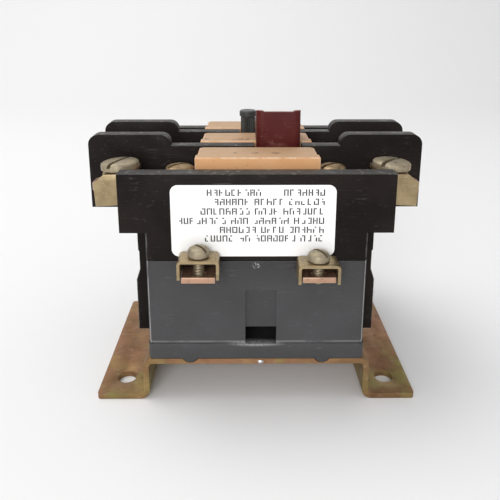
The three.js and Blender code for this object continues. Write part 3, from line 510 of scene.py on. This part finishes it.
def brown_moulding(name, worn=0.0):
    shell = Finish(name, (0.0100, 0.0070, 0.0066), roughness=0.42, specular=0.09)
    shell.tint(shell.patches(0.018, 0.40, 0.66, shift=1.4), (0.020, 0.0150, 0.0130), 0.85)
    shell.tint(shell.patches(0.0007, 0.66, 0.78, detail=1.0, shift=5.7), (0.12, 0.11, 0.10), 0.15)
    shell.tint(shell.scratches(0.0009, 0.012, (20, 30, 40)), (0.16, 0.14, 0.12), 0.3)
    shell.tint(shell.scratches(0.0012, 0.010, (70, 5, 100), 2.7), (0.18, 0.16, 0.14), 0.3)
    # Painted highlight: faces that look up are lighter, as if lit from overhead.
    shell.tint(shell.upward(0.5, 0.95), (0.080, 0.077, 0.072), 0.75)
    chips = shell.maths("MULTIPLY", shell.upward(0.3, 0.9), shell.patches(0.0016, 0.58, 0.66, shift=8.1))
    shell.tint(chips, (0.30, 0.29, 0.27), 0.5)
    # The edge copy is lighter in patches: wear on the bevelled edges, and a painted highlight on the
    # upright corners that take it.
    if worn:
        shell.tint(shell.patches(0.002, 0.40, 0.62, shift=3.9), (0.16, 0.155, 0.15), worn)
    shell.gloss(shell.patches(0.007, 0.4, 0.7, shift=2.9), 0.14)
    shell.relief(shell.noise(0.0006, 3.0), 0.000008)
    return shell.done()


brown_shell = [brown_moulding("black_phenolic"), brown_moulding("black_phenolic_edge", 0.8)]
contact_form = painted_corner_highlights(eased(copied_form("contact_housing"), 0.3 * MM))
finished(contact_form, "contact_shell", brown_shell, "root", "contact_housing")


# ---- Retaining clips ----
# A springy strap of the brown phenolic on each side hooks into both shells and holds them together.

for hand in ("left", "right"):
    clip_form = eased(copied_form(f"retaining_clip_{hand}"), 0.25 * MM)
    finished(clip_form, f"side_clip_{hand}", brown_shell, "root", f"retaining_clip_{hand}")


# ---- Rating label ----
# White film with rounded corners, stuck over the front. Its print is upside down on this mounting;
# plain strokes stand in for the words.

film = Finish("label_film", (0.985, 0.985, 0.98), roughness=0.5)
film.tint(film.patches(0.004, 0.60, 0.78), (0.93, 0.925, 0.90), 0.25)
film.gloss(film.patches(0.003, 0.4, 0.6), 0.08)
label_low, label_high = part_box("rating_label")
label_path = [
    (label_low.x, (label_low.z + label_high.z) / 2), (label_low.x, label_low.z),
    (label_high.x, label_low.z), (label_high.x, label_high.z), (label_low.x, label_high.z),
    (label_low.x, (label_low.z + label_high.z) / 2),
]
label_form = bmesh.new()
label_face = label_form.faces.new(
    [label_form.verts.new((x, label_low.y, z)) for x, z in filleted(label_path, 2 * MM)[:-1]]
)
backed = bmesh.ops.extrude_face_region(label_form, geom=[label_face])
bmesh.ops.translate(
    label_form, vec=(0, label_high.y - label_low.y, 0),
    verts=[part for part in backed["geom"] if isinstance(part, bmesh.types.BMVert)],
)
finished(label_form, "label_film_sheet", [film.done()], "root", "rating_label")

ink = Finish("label_ink", (0.010, 0.010, 0.012), roughness=0.6, specular=0.2)
ink.tint(ink.patches(0.0006, 0.50, 0.70), (0.030, 0.030, 0.033), 0.4)
# Height on the label, letters in each word read from the right, and the space after a word, in millimetres
print_lines = [
    (16.8, (7, 9), 5.6), (14.3, (6, 5, 6), 1.0), (11.7, (7, 4, 8), 1.0),
    (9.1, (5, 6, 3, 8), 1.0), (6.6, (6, 4, 6), 1.0), (4.2, (4, 7, 2, 5), 1.0),
]
letter_high, letter_wide, stroke = 1.75 * MM, 1.35 * MM, 0.31 * MM
chance = random.Random(7)
print_form = bmesh.new()


def ink_stroke(x0, z0, x1, z1):
    made = bmesh.ops.create_cube(print_form, size=1)["verts"]
    middle = Vector(((x0 + x1) / 2, label_low.y - 0.008 * MM, (z0 + z1) / 2))
    size = Vector((abs(x1 - x0), 0.02 * MM, abs(z1 - z0)))
    for vertex in made:
        vertex.co = middle + Vector([vertex.co[axis] * size[axis] for axis in range(3)])


for rise, words, space in print_lines:
    x = label_high.x - 3.0 * MM
    z = label_low.z + rise * MM
    for count in words:
        for _ in range(count):
            wide = letter_wide * chance.uniform(0.85, 1.0)
            left = x - wide
            for upright in chance.choice(((0,), (0, 1), (0, 1), (1,))):
                at = left if upright else x - stroke
                ink_stroke(at, z, at + stroke, z + letter_high * chance.choice((1, 1, 0.62)))
            for level in chance.choice(((0,), (1,), (0, 1), (0.5,), (0.5, 1))):
                base = z + level * (letter_high - stroke)
                ink_stroke(left + stroke * 1.3, base, x - stroke * 1.3, base + stroke)
            x -= wide + 0.36 * MM
        x -= space * MM
finished(print_form, "label_print", [ink.done()], "root", slot="label_film")


# ---- Contact carriers ----
# Three tan phenolic bars cross the top, one to a pole. Each covers its contact bridge and carries it
# down when the magnet pulls. The upper faces are coloured greyer and darker, and browned in spots by
# arcing.

# Pole, place across and along its bar as shares of it, and half sizes in millimetres
burns = [(1, -0.03, 0.42, 1.3, 1.1), (1, 0.30, 0.42, 1.7, 1.3), (1, -0.36, 0.45, 0.7, 0.9),
         (2, -0.24, 0.22, 4.2, 1.6), (2, -0.92, 0.25, 1.8, 1.2), (2, 0.12, 0.70, 1.6, 1.2)]


def tan_moulding(name, worn=0.0):
    bar = Finish(name, (0.72, 0.375, 0.165), roughness=0.5, specular=0.35)
    bar.tint(bar.patches(0.009, 0.38, 0.66), (0.78, 0.43, 0.205), 0.7)
    bar.tint(bar.upward(0.5, 0.95), (0.47, 0.31, 0.185), 0.85)
    bar.tint(bar.patches(0.0009, 0.62, 0.74, detail=2.0, shift=1.9), (0.34, 0.19, 0.10), 0.4)
    bar.tint(bar.scratches(0.0007, 0.014, (5, 80, 15), 0.9), (0.80, 0.60, 0.42), 0.35)
    for pole, across, along, wide, deep in burns:
        low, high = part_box(f"contact_carrier_{pole}")
        x = (low.x + high.x) / 2 + across * (high.x - low.x) / 2
        y = low.y + along * (high.y - low.y)
        burn = bar.spot((x, y, high.z), (wide * MM, deep * MM, MM))
        burn = bar.maths("MULTIPLY", burn, bar.patches(0.0009, 0.42, 0.52, detail=1.0, shift=2.6))
        bar.tint(burn, (0.060, 0.036, 0.030), 0.8)
    if worn:
        bar.tint(bar.patches(0.0015, 0.35, 0.6, shift=4.0), (0.82, 0.62, 0.45), worn)
    bar.gloss(bar.patches(0.004, 0.4, 0.65, shift=0.8), 0.12)
    bar.relief(bar.noise(0.0005, 3.0), 0.000008)
    return bar.done()


tan_bar = [tan_moulding("tan_phenolic"), tan_moulding("tan_phenolic_edge", 0.6)]
for pole in (1, 2, 3):
    carrier_form = eased(copied_form(f"contact_carrier_{pole}"), 0.35 * MM, 3)
    finished(carrier_form, f"carrier_bar_{pole}", tan_bar, "crossbar", f"contact_carrier_{pole}")


# ---- Crossbar ----
# The black moulding under the floor that joins the three carriers and hangs the armature from a pin.

crossbar_form = eased(copied_form("crossbar"), 0.25 * MM)
finished(crossbar_form, "crossbar_beam", brown_shell, "crossbar", "crossbar")

ground = Finish("ground_steel", (0.55, 0.56, 0.57), metallic=1.0, roughness=0.3)
ground.gloss(ground.patches(0.0012, 0.4, 0.65, stretch=(1, 0.1, 1)), 0.2)
ground.relief(ground.noise(0.0003, 2.0, (1, 0.1, 1)), 0.000003)
ground_steel = ground.done()
pin_low, pin_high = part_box("armature_pin")
pin_radius, pin_end = (pin_high.x - pin_low.x) / 2, 0.3 * MM
pin_length = pin_high.y - pin_low.y
pin_form = turned_form([
    (0, 0), (pin_radius - pin_end, 0), (pin_radius, pin_end), (pin_radius, pin_length - pin_end),
    (pin_radius - pin_end, pin_length), (0, pin_length),
], 32)
bmesh.ops.rotate(
    pin_form, verts=pin_form.verts, cent=(0, 0, 0), matrix=Matrix.Rotation(-math.pi / 2, 3, "X")
)
bmesh.ops.translate(
    pin_form, verts=pin_form.verts,
    vec=((pin_low.x + pin_high.x) / 2, pin_low.y, (pin_low.z + pin_high.z) / 2),
)
finished(pin_form, "hanging_pin", [ground_steel], "crossbar", "armature_pin")


# ---- Actuator tab ----
# A dark red moulding pegged to the middle carrier works an add-on block. Its front wall hangs into a
# notch in the first barrier, and its corners stand a little above the wall.

tab_low, tab_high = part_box("actuator_tab")


def maroon_moulding(name, worn=0.0):
    tab = Finish(name, (0.078, 0.0095, 0.0088), roughness=0.40, specular=0.17)
    tab.tint(tab.patches(0.006, 0.40, 0.68), (0.098, 0.0155, 0.0135), 0.8)
    bloom = tab.maths("MULTIPLY", tab.patches(0.003, 0.45, 0.62, shift=1.2),
                      tab.spot((6.8 * MM, tab_low.y, tab_high.z - 8.8 * MM), (5.0 * MM, 3 * MM, 2.2 * MM)))
    tab.tint(bloom, (0.34, 0.17, 0.14), 0.5)
    tab.tint(tab.scratches(0.0008, 0.012, (10, 60, 20), 0.5), (0.34, 0.16, 0.14), 0.5)
    # Painted highlight: faces that look up are lighter, as if lit from overhead.
    tab.tint(tab.upward(0.5, 0.95), (0.28, 0.13, 0.11), 0.7)
    if worn:
        tab.tint(tab.patches(0.0016, 0.35, 0.6, shift=4.4), (0.36, 0.18, 0.15), worn)
    tab.gloss(tab.patches(0.004, 0.4, 0.7, shift=3.3), 0.16)
    tab.relief(tab.noise(0.0006, 3.0), 0.000007)
    return tab.done()


tab_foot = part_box("contact_carrier_2")[1].z + 0.3 * MM
tab_sheet, tab_corner, tab_dip, tab_fall = 1.4 * MM, 1.2 * MM, 0.3 * MM, 4.8 * MM
tab_skirt = tab_foot - 3.7 * MM
tab_back = tab_low.y + 15.5 * MM
tab_left, tab_right = tab_low.x + tab_sheet / 2, tab_high.x - tab_sheet / 2
tab_front = tab_low.y + tab_sheet / 2
tab_bend = filleted(
    [(tab_left, tab_back), (tab_left, tab_front), (tab_right, tab_front), (tab_right, tab_back)], tab_corner
)
dip_from, past_bend = tab_corner + 0.5 * MM, tab_corner + 0.2 * MM
tab_path = [point for point in tab_bend if point.x < tab_left + past_bend]
tab_path += [Vector((x, tab_front)) for x in (tab_left + dip_from, tab_right - dip_from)]
tab_path += [point for point in tab_bend if point.x > tab_right - past_bend]


def tab_span(point):
    in_front = point.y < tab_front + tab_corner * 0.75
    from_corner = min(point.x - tab_left, tab_right - point.x)
    top = tab_high.z - (tab_dip if from_corner > tab_corner * 1.1 else 0.0)
    top -= tab_fall * max(0.0, point.y - tab_front - tab_corner) / (tab_back - tab_front - tab_corner)
    return (tab_skirt if in_front else tab_foot), top


tab_form = bent_sheet(tab_path, tab_sheet, tab_span, lambda x, y, z: (x, y, z))
tab_floor = brick(
    (tab_left, tab_front, tab_foot), (tab_right, tab_back - 0.02 * MM, tab_foot + tab_sheet)
)
tab_form = carved(tab_form, tab_floor, "UNION")
peg_radius = 1.5 * MM
middle_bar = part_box("contact_carrier_2")
peg_at = ((tab_left + tab_right) / 2, (middle_bar[0].y + middle_bar[1].y) / 2)
tab_form = carved(tab_form, plug(peg_radius, tab_low.z, tab_foot + 0.5 * MM, *peg_at), "UNION")
eased(tab_form, 0.28 * MM, 3)
maroon_tab = [maroon_moulding("maroon_moulding"), maroon_moulding("maroon_moulding_edge", 0.7)]
finished(tab_form, "lever_tab", maroon_tab, "crossbar", "actuator_tab")


# ---- Test plunger ----
# A black knurled knob with a flat cap. Pressing it pushes the crossbar down by hand.

knob = Finish("knob_nylon", (0.030, 0.034, 0.033), roughness=0.42, specular=0.5)
knob.tint(knob.patches(0.003, 0.42, 0.66), (0.055, 0.058, 0.054), 0.7)
knob.tint(knob.upward(0.6, 0.95), (0.13, 0.135, 0.13), 0.6)
knob.tint(knob.scratches(0.0006, 0.015, (30, 20, 60)), (0.20, 0.20, 0.19), 0.4)
knob.gloss(knob.patches(0.002, 0.4, 0.7), 0.12)
plunger_low, plunger_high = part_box("test_plunger")
plunger_at = (plunger_low + plunger_high) / 2
plunger_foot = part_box("contact_carrier_2")[1].z - 1.3 * MM
cap_radius = (plunger_high.x - plunger_low.x) / 2
cap_under = plunger_high.z - 2.0 * MM
grip_radius, rod_radius = 2.35 * MM, 1.0 * MM


def knurl(angle, height, radius):
    on_grip = plunger_foot + 0.4 * MM < height < cap_under - 0.25 * MM
    return (0.14 * MM * math.cos(22 * angle) - 0.14 * MM) if on_grip and radius > 1.5 * MM else 0.0


plunger_form = turned_form([
    (0, plunger_low.z), (rod_radius - 0.2 * MM, plunger_low.z), (rod_radius, plunger_low.z + 0.3 * MM),
    (rod_radius, plunger_foot), (grip_radius - 0.3 * MM, plunger_foot),
    (grip_radius, plunger_foot + 0.3 * MM),
    (grip_radius, plunger_foot + 0.7 * MM), (grip_radius, plunger_foot + 0.8 * MM),
    (grip_radius, cap_under - 0.4 * MM), (grip_radius, cap_under - 0.3 * MM),
    (grip_radius - 0.25 * MM, cap_under - 0.2 * MM), (grip_radius - 0.25 * MM, cap_under),
    (cap_radius - 0.25 * MM, cap_under), (cap_radius, cap_under + 0.25 * MM),
    (cap_radius, plunger_high.z - 0.4 * MM), (cap_radius - 0.35 * MM, plunger_high.z),
    (cap_radius - 0.9 * MM, plunger_high.z), (cap_radius - 1.2 * MM, plunger_high.z - 0.15 * MM),
    (0, plunger_high.z - 0.2 * MM),
], 176, knurl)
bmesh.ops.translate(plunger_form, verts=plunger_form.verts, vec=(plunger_at.x, plunger_at.y, 0))
finished(plunger_form, "push_knob", [knob.done()], "crossbar", "test_plunger")


# ---- Magnet ----
# An E-shaped stack of laminations on a rubber pad, with a copper ring let into each outer pole face,
# and the flat armature above it that the crossbar carries.

stack = Finish("laminations", (0.34, 0.35, 0.36), metallic=0.9, roughness=0.42)
leaves = stack.node(
    "TexWave", {"bands_direction": "Y"}, Scale=1000 / 3.2, Vector=stack.place, Distortion=0.4
)
stack.tint(stack.ramp(leaves.outputs["Fac"], 0.7, 1.0), (0.10, 0.09, 0.085), 0.7)
stack.tint(stack.patches(0.004, 0.5, 0.7), (0.25, 0.17, 0.11), 0.5)
stack.relief(leaves.outputs["Fac"], -0.00002)
stack.gloss(stack.patches(0.003, 0.4, 0.7), 0.2)
lamination_steel = stack.done()
core_form = eased(copied_form("magnet_core"), 0.2 * MM)
finished(core_form, "e_core", [lamination_steel] * 2, "root", "magnet_core")
armature_form = eased(copied_form("armature"), 0.3 * MM)
finished(armature_form, "pull_bar", [lamination_steel] * 2, "crossbar", "armature")

pad = Finish("cushion_rubber", (0.035, 0.035, 0.034), roughness=0.85)
pad.tint(pad.patches(0.002, 0.5, 0.7), (0.06, 0.06, 0.058), 0.7)
pad.relief(pad.noise(0.0006, 3.0), 0.00002)
pad_form = eased(copied_form("magnet_pad"), 0.25 * MM)
finished(pad_form, "rubber_cushion", [pad.done()] * 2, "root", "magnet_pad")


def copper_finish(name, colour, dull):
    copper = Finish(name, colour, metallic=0.9, roughness=0.34)
    copper.tint(copper.patches(0.005, 0.45, 0.68), [tone * 0.55 for tone in colour], dull)
    copper.tint(copper.patches(0.0012, 0.58, 0.72, shift=2.0), (0.10, 0.055, 0.035), dull)
    copper.tint(copper.scratches(0.0007, 0.015, (20, 10, 70)), (0.85, 0.62, 0.48), 0.5)
    copper.gloss(copper.patches(0.003, 0.4, 0.7, shift=1.0), 0.2)
    copper.relief(copper.noise(0.0005, 3.0), 0.000008)
    return copper.done()


bright_copper = copper_finish("copper", (0.60, 0.30, 0.19), 0.4)
for hand in ("left", "right"):
    ring_form = eased(copied_form(f"shading_ring_{hand}"), 0.2 * MM)
    finished(ring_form, f"pole_ring_{hand}", [bright_copper] * 2, "root", f"shading_ring_{hand}")


# ---- Coil ----
# Enamelled copper wire wound on a nylon bobbin that slides over the middle leg of the magnet.

nylon = Finish("natural_nylon", (0.72, 0.68, 0.58), roughness=0.45)
nylon.tint(nylon.patches(0.005, 0.45, 0.7), (0.60, 0.53, 0.40), 0.6)
nylon.relief(nylon.noise(0.0008, 2.0), 0.000006)
bobbin_form = eased(copied_form("coil_bobbin"), 0.2 * MM)
finished(bobbin_form, "bobbin_body", [nylon.done()] * 2, "root", "coil_bobbin")

wire = Finish("magnet_wire", (0.42, 0.16, 0.06), metallic=0.7, roughness=0.3)
turns = wire.node("TexWave", {"bands_direction": "Z"}, Scale=1000 / 2.2, Vector=wire.place)
wire.tint(wire.ramp(turns.outputs["Fac"], 0.0, 0.45, 1.0, 0.0), (0.10, 0.035, 0.015), 0.9)
wire.tint(wire.patches(0.003, 0.5, 0.7), (0.55, 0.25, 0.10), 0.5)
wire.relief(turns.outputs["Fac"], 0.00008)
winding_form = eased(copied_form("coil_winding"), 0.4 * MM, 3)
finished(winding_form, "winding_block", [wire.done()] * 2, "root", "coil_winding")


# ---- Springs ----
# Two return springs push the crossbar up off the bobbin, and one small spring over each bridge
# presses its contacts together. All are music wire with closed ends.

def coil_spring_form(low, high, wire_radius, turns):
    """A helix between two corners of a box, its first and last turns lying flat"""
    middle = (low + high) / 2
    radius = (high.x - low.x) / 2 - wire_radius
    first, last = low.z + wire_radius, high.z - wire_radius
    steps, facets = int(turns * 28), 10
    form = bmesh.new()
    rings = []
    for step in range(steps + 1):
        share = step / steps
        angle = 2 * math.pi * turns * share
        rise = min(max((share * turns - 0.75) / (turns - 1.5), 0.0), 1.0)
        flat_turn = wire_radius * 2.1
        level = first + flat_turn * min(share * turns, 0.75) / 0.75 * 0.5
        level += (last - first - flat_turn) * rise
        level += flat_turn * 0.5 * max(0.0, (share * turns - turns + 0.75) / 0.75)
        out = Vector((math.cos(angle), math.sin(angle), 0))
        centre = Vector((middle.x, middle.y, level)) + out * radius
        rings.append([
            form.verts.new(centre + (out * math.cos(a) + Vector((0, 0, 1)) * math.sin(a)) * wire_radius)
            for a in (2 * math.pi * facet / facets for facet in range(facets))
        ])
    for one, two in zip(rings, rings[1:]):
        for facet in range(facets):
            after = (facet + 1) % facets
            form.faces.new((one[facet], one[after], two[after], two[facet]))
    form.faces.new(rings[0])
    form.faces.new(rings[-1][::-1])
    return form


spring_wire = 0.4 * MM
for end in ("front", "rear"):
    low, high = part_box(f"return_spring_{end}")
    form = coil_spring_form(low, high, spring_wire, 5)
    spring = finished(form, f"lift_spring_{end}", [ground_steel], "root", f"return_spring_{end}")
    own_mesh(spring)
for pole in (1, 2, 3):
    low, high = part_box(f"contact_spring_{pole}")
    form = coil_spring_form(low, high, spring_wire, 4)
    spring = finished(form, f"bridge_spring_{pole}", [ground_steel], "crossbar", f"contact_spring_{pole}")
    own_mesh(spring)


# ---- Contacts ----
# Copper straps carry the current in from the terminals over a moulded step to a silver tip, and the
# bridge under each carrier joins the two tips of its pole.

tinned_copper = copper_finish("tinned_copper", (0.56, 0.36, 0.25), 0.5)
for pole in (1, 2, 3):
    bridge_form = eased(copied_form(f"moving_bridge_{pole}"), 0.2 * MM)
    finished(bridge_form, f"contact_bar_{pole}", [bright_copper] * 2, f"bridge_{pole}",
             f"moving_bridge_{pole}")
    for row in ("line", "load"):
        strap_form = eased(copied_form(f"{row}_strap_{pole}"), 0.25 * MM)
        finished(strap_form, f"{row}_bar_{pole}", [tinned_copper] * 2, "root", f"{row}_strap_{pole}")


# ---- Strap screws ----
# Low domed brass screws hold the straps down inside the terminals.

brass = Finish("brass", (0.36, 0.26, 0.15), metallic=0.9, roughness=0.42)
brass.tint(brass.patches(0.0022, 0.45, 0.66), (0.20, 0.13, 0.065), 0.75)
brass.tint(brass.patches(0.0007, 0.60, 0.72, shift=1.5), (0.10, 0.06, 0.03), 0.7)
brass.tint(brass.scratches(0.0005, 0.02, (5, 15, 50)), (0.62, 0.52, 0.34), 0.4)
brass.gloss(brass.patches(0.0015, 0.4, 0.7), 0.22)
screw_brass = brass.done()


def slotted_form(outline, slot_width, slot_depth, turn, top, radius, thread=None):
    """A turned screw with a slot; thread is (bottom, top, pitch, depth) on the shank"""
    if thread:
        bottom, end, pitch, depth = thread
        shank = max(r for r, z in outline if z < end)
        rows = int((end - bottom) / pitch * 8)
        threaded = [(shank, bottom + (end - bottom) * row / rows) for row in range(rows + 1)]
        outline = [point for point in outline if point[1] < bottom] + threaded + [
            point for point in outline if point[1] > end
        ]

    def ridge(angle, height, _):
        if not thread or not bottom <= height <= end:
            return 0.0
        phase = (height / pitch - angle / (2 * math.pi)) % 1.0
        fade = min(1.0, (height - bottom) / pitch, (end - height) / pitch)
        return -depth * abs(2 * phase - 1) * fade

    form = turned_form(outline, 64 if thread else 48, ridge)
    slot = brick((-radius - MM, -slot_width / 2, top - slot_depth), (radius + MM, slot_width / 2, top + MM))
    bmesh.ops.rotate(
        slot, verts=slot.verts, cent=(0, 0, 0), matrix=Matrix.Rotation(math.radians(turn), 3, "Z")
    )
    return carved(form, slot)


for pole in (1, 2, 3):
    for row in ("line", "load"):
        low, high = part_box(f"{row}_strap_screw_{pole}")
        middle, head = (low + high) / 2, (high.x - low.x) / 2
        top, seat, shank = high.z, high.z - 1.5 * MM, 1.45 * MM
        dome_form = slotted_form([
            (0, low.z), (shank - 0.3 * MM, low.z), (shank, low.z + 0.3 * MM), (shank, seat),
            (head - 0.2 * MM, seat), (head, seat + 0.2 * MM), (head, seat + 0.45 * MM),
            (head * 0.93, seat + 0.8 * MM), (head * 0.78, seat + 1.1 * MM), (head * 0.55, seat + 1.35 * MM),
            (head * 0.28, top - 0.04 * MM), (0, top),
        ], 1.0 * MM, 0.9 * MM, 40 * pole - 5, top, head)
        bmesh.ops.translate(dome_form, verts=dome_form.verts, vec=(middle.x, middle.y, 0))
        finished(dome_form, f"{row}_dome_screw_{pole}", [screw_brass], "root", f"{row}_strap_screw_{pole}")


# ---- Power terminals ----
# A plated steel saddle straddles each strap and is drawn down by a slotted screw that leans a little
# outwards. The plating is khaki, brighter on the saddles' bends and duller on the screws.

def plated_finish(name, colour, worn=0.0, roughness=0.33):
    plated = Finish(name, colour, metallic=0.85, roughness=roughness)
    plated.tint(plated.patches(0.004, 0.42, 0.66), [tone * 0.6 for tone in colour], 0.7)
    plated.tint(plated.patches(0.0014, 0.55, 0.70, shift=1.8), (0.42, 0.34, 0.20), 0.6)
    plated.tint(plated.scratches(0.0006, 0.018, (5, 10, 40)), (0.85, 0.82, 0.74), 0.6)
    if worn:
        plated.tint(plated.patches(0.0012, 0.35, 0.6, shift=2.8), (0.62, 0.55, 0.42), worn)
    plated.gloss(plated.patches(0.002, 0.4, 0.7, shift=0.6), 0.2)
    plated.relief(plated.noise(0.0004, 3.0), 0.000008)
    return plated.done()


saddle_plate = [plated_finish("plated_saddle", (0.40, 0.305, 0.17)),
                plated_finish("plated_saddle_edge", (0.55, 0.45, 0.28), 0.7)]
screw_plate = plated_finish("plated_screw", (0.34, 0.285, 0.195), 0.3, 0.5)
thread_pitch = 0.794 * MM
# The way each slot points, in degrees, from the front pole to the back one
power_slots = {"line": (66, 35, 100), "load": (50, 125, 10)}


def joint_place(name):
    """The matrix that stands a turned form on a screw's joint"""
    joint = joint_of[name]
    lean = Vector((0, 0, 1)).rotation_difference(Vector(joint["axis"])).to_matrix().to_4x4()
    return Matrix.Translation(joint["pos_m"]) @ lean


def along_joint(node, place):
    """How far a screw reaches below and above its joint's origin"""
    away = place.inverted()
    heights = [(away @ vertex.co).z for vertex in frame["nodes"][node].data.vertices]
    return min(heights), max(heights)


for pole in (1, 2, 3):
    for row in ("line", "load"):
        saddle_form = eased(copied_form(f"{row}_saddle_{pole}"), 0.3 * MM, 3)
        finished(saddle_form, f"{row}_clamp_{pole}", saddle_plate, f"{row}_{pole}_clamp",
                 f"{row}_saddle_{pole}")
        place = joint_place(f"{row}_{pole}_screw_turn")
        tip, top = along_joint(f"{row}_screw_{pole}", place)
        seat, head, shank = top - 2.5 * MM, 5.3 * MM, 2.3 * MM
        screw_form = slotted_form([
            (0, tip), (shank - 0.5 * MM, tip), (shank - 0.1 * MM, tip + 0.45 * MM), (shank, seat),
            (head - 0.3 * MM, seat), (head, seat + 0.3 * MM), (head, seat + 1.5 * MM),
            (head - 0.1 * MM, seat + 1.85 * MM), (head - 0.4 * MM, seat + 2.1 * MM),
            (head - 1.0 * MM, seat + 2.32 * MM), (head * 0.5, top - 0.06 * MM), (0, top),
        ], 1.2 * MM, 1.3 * MM, power_slots[row][pole - 1], top, head,
            (tip + 0.5 * MM, seat - 0.2 * MM, thread_pitch, 0.4 * MM))
        screw_form.transform(place)
        finished(screw_form, f"{row}_clamp_screw_{pole}", [screw_plate], f"{row}_{pole}_screw",
                 f"{row}_screw_{pole}")


# ---- Coil terminals ----
# Flat copper tabs come out through the front of the coil housing. Each has a small bent saddle with a
# fillister-head screw; the left one is backed off and shows its thread.

tab_copper = [copper_finish("tab_copper", (0.55, 0.33, 0.225), 0.35),
              copper_finish("tab_copper_edge", (0.60, 0.42, 0.31), 0.25)]
for index, hand in enumerate(("left", "right")):
    finished(eased(copied_form(f"coil_tab_{hand}"), 0.25 * MM, 3), f"coil_blade_{hand}", tab_copper, "root",
             f"coil_tab_{hand}")
    place = joint_place(f"coil_{hand}_screw_turn")
    screw_at = place.translation

    low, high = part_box(f"coil_saddle_{hand}")
    saddle_sheet = 0.75 * MM
    left, right, roof = low.x + saddle_sheet / 2, high.x - saddle_sheet / 2, high.z - saddle_sheet / 2
    arch = filleted([(left, low.z), (left, roof), (right, roof), (right, low.z)], 0.8 * MM)
    arch_form = bent_sheet(arch, saddle_sheet, lambda point: (low.y, high.y), lambda x, z, y: (x, y, z))
    arch_form = carved(arch_form, plug(2.0 * MM, high.z - 2 * MM, high.z + MM, screw_at.x, screw_at.y))
    finished(eased(arch_form, 0.15 * MM), f"coil_clamp_{hand}", saddle_plate, f"coil_{hand}_clamp",
             f"coil_saddle_{hand}")

    tip, top = along_joint(f"coil_screw_{hand}", place)
    seat, head, shank = top - 2.75 * MM, 2.85 * MM, 1.7 * MM
    screw_form = slotted_form([
        (0, tip), (shank - 0.4 * MM, tip), (shank - 0.1 * MM, tip + 0.35 * MM), (shank, seat),
        (head - 0.2 * MM, seat), (head, seat + 0.2 * MM), (head, seat + 1.2 * MM),
        (head * 0.96, seat + 1.65 * MM), (head * 0.86, seat + 2.05 * MM), (head * 0.68, seat + 2.4 * MM),
        (head * 0.4, top - 0.08 * MM), (0, top),
    ], 0.8 * MM, 1.4 * MM, 140 - 6 * index, top, head,
        (tip + 0.4 * MM, seat - 0.15 * MM, thread_pitch, 0.34 * MM))
    screw_form.transform(place)
    finished(screw_form, f"coil_clamp_screw_{hand}", [screw_plate], f"coil_{hand}_screw",
             f"coil_screw_{hand}")


# ---- Housing screws ----
# Two pan-head screws come up through the platform into bosses in the coil housing, at opposite corners.

for hand in ("left", "right"):
    low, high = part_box(f"housing_screw_{hand}")
    middle, head, shank = (low + high) / 2, (high.x - low.x) / 2, 2.0 * MM
    under, length = 2.2 * MM, high.z - low.z
    screw_form = slotted_form([
        (0, -length), (shank - 0.5 * MM, -length), (shank, -length + 0.6 * MM), (shank, -under),
        (head - 0.2 * MM, -under), (head, -under + 0.2 * MM), (head, -0.7 * MM),
        (head * 0.9, -0.25 * MM), (head * 0.6, -0.04 * MM), (0, 0),
    ], 1.2 * MM, 1.1 * MM, 25, 0, head)
    bmesh.ops.rotate(
        screw_form, verts=screw_form.verts, cent=(0, 0, 0), matrix=Matrix.Rotation(math.pi, 3, "X")
    )
    bmesh.ops.translate(screw_form, verts=screw_form.verts, vec=(middle.x, middle.y, low.z))
    finished(screw_form, f"base_screw_{hand}", [screw_plate], "root", f"housing_screw_{hand}")
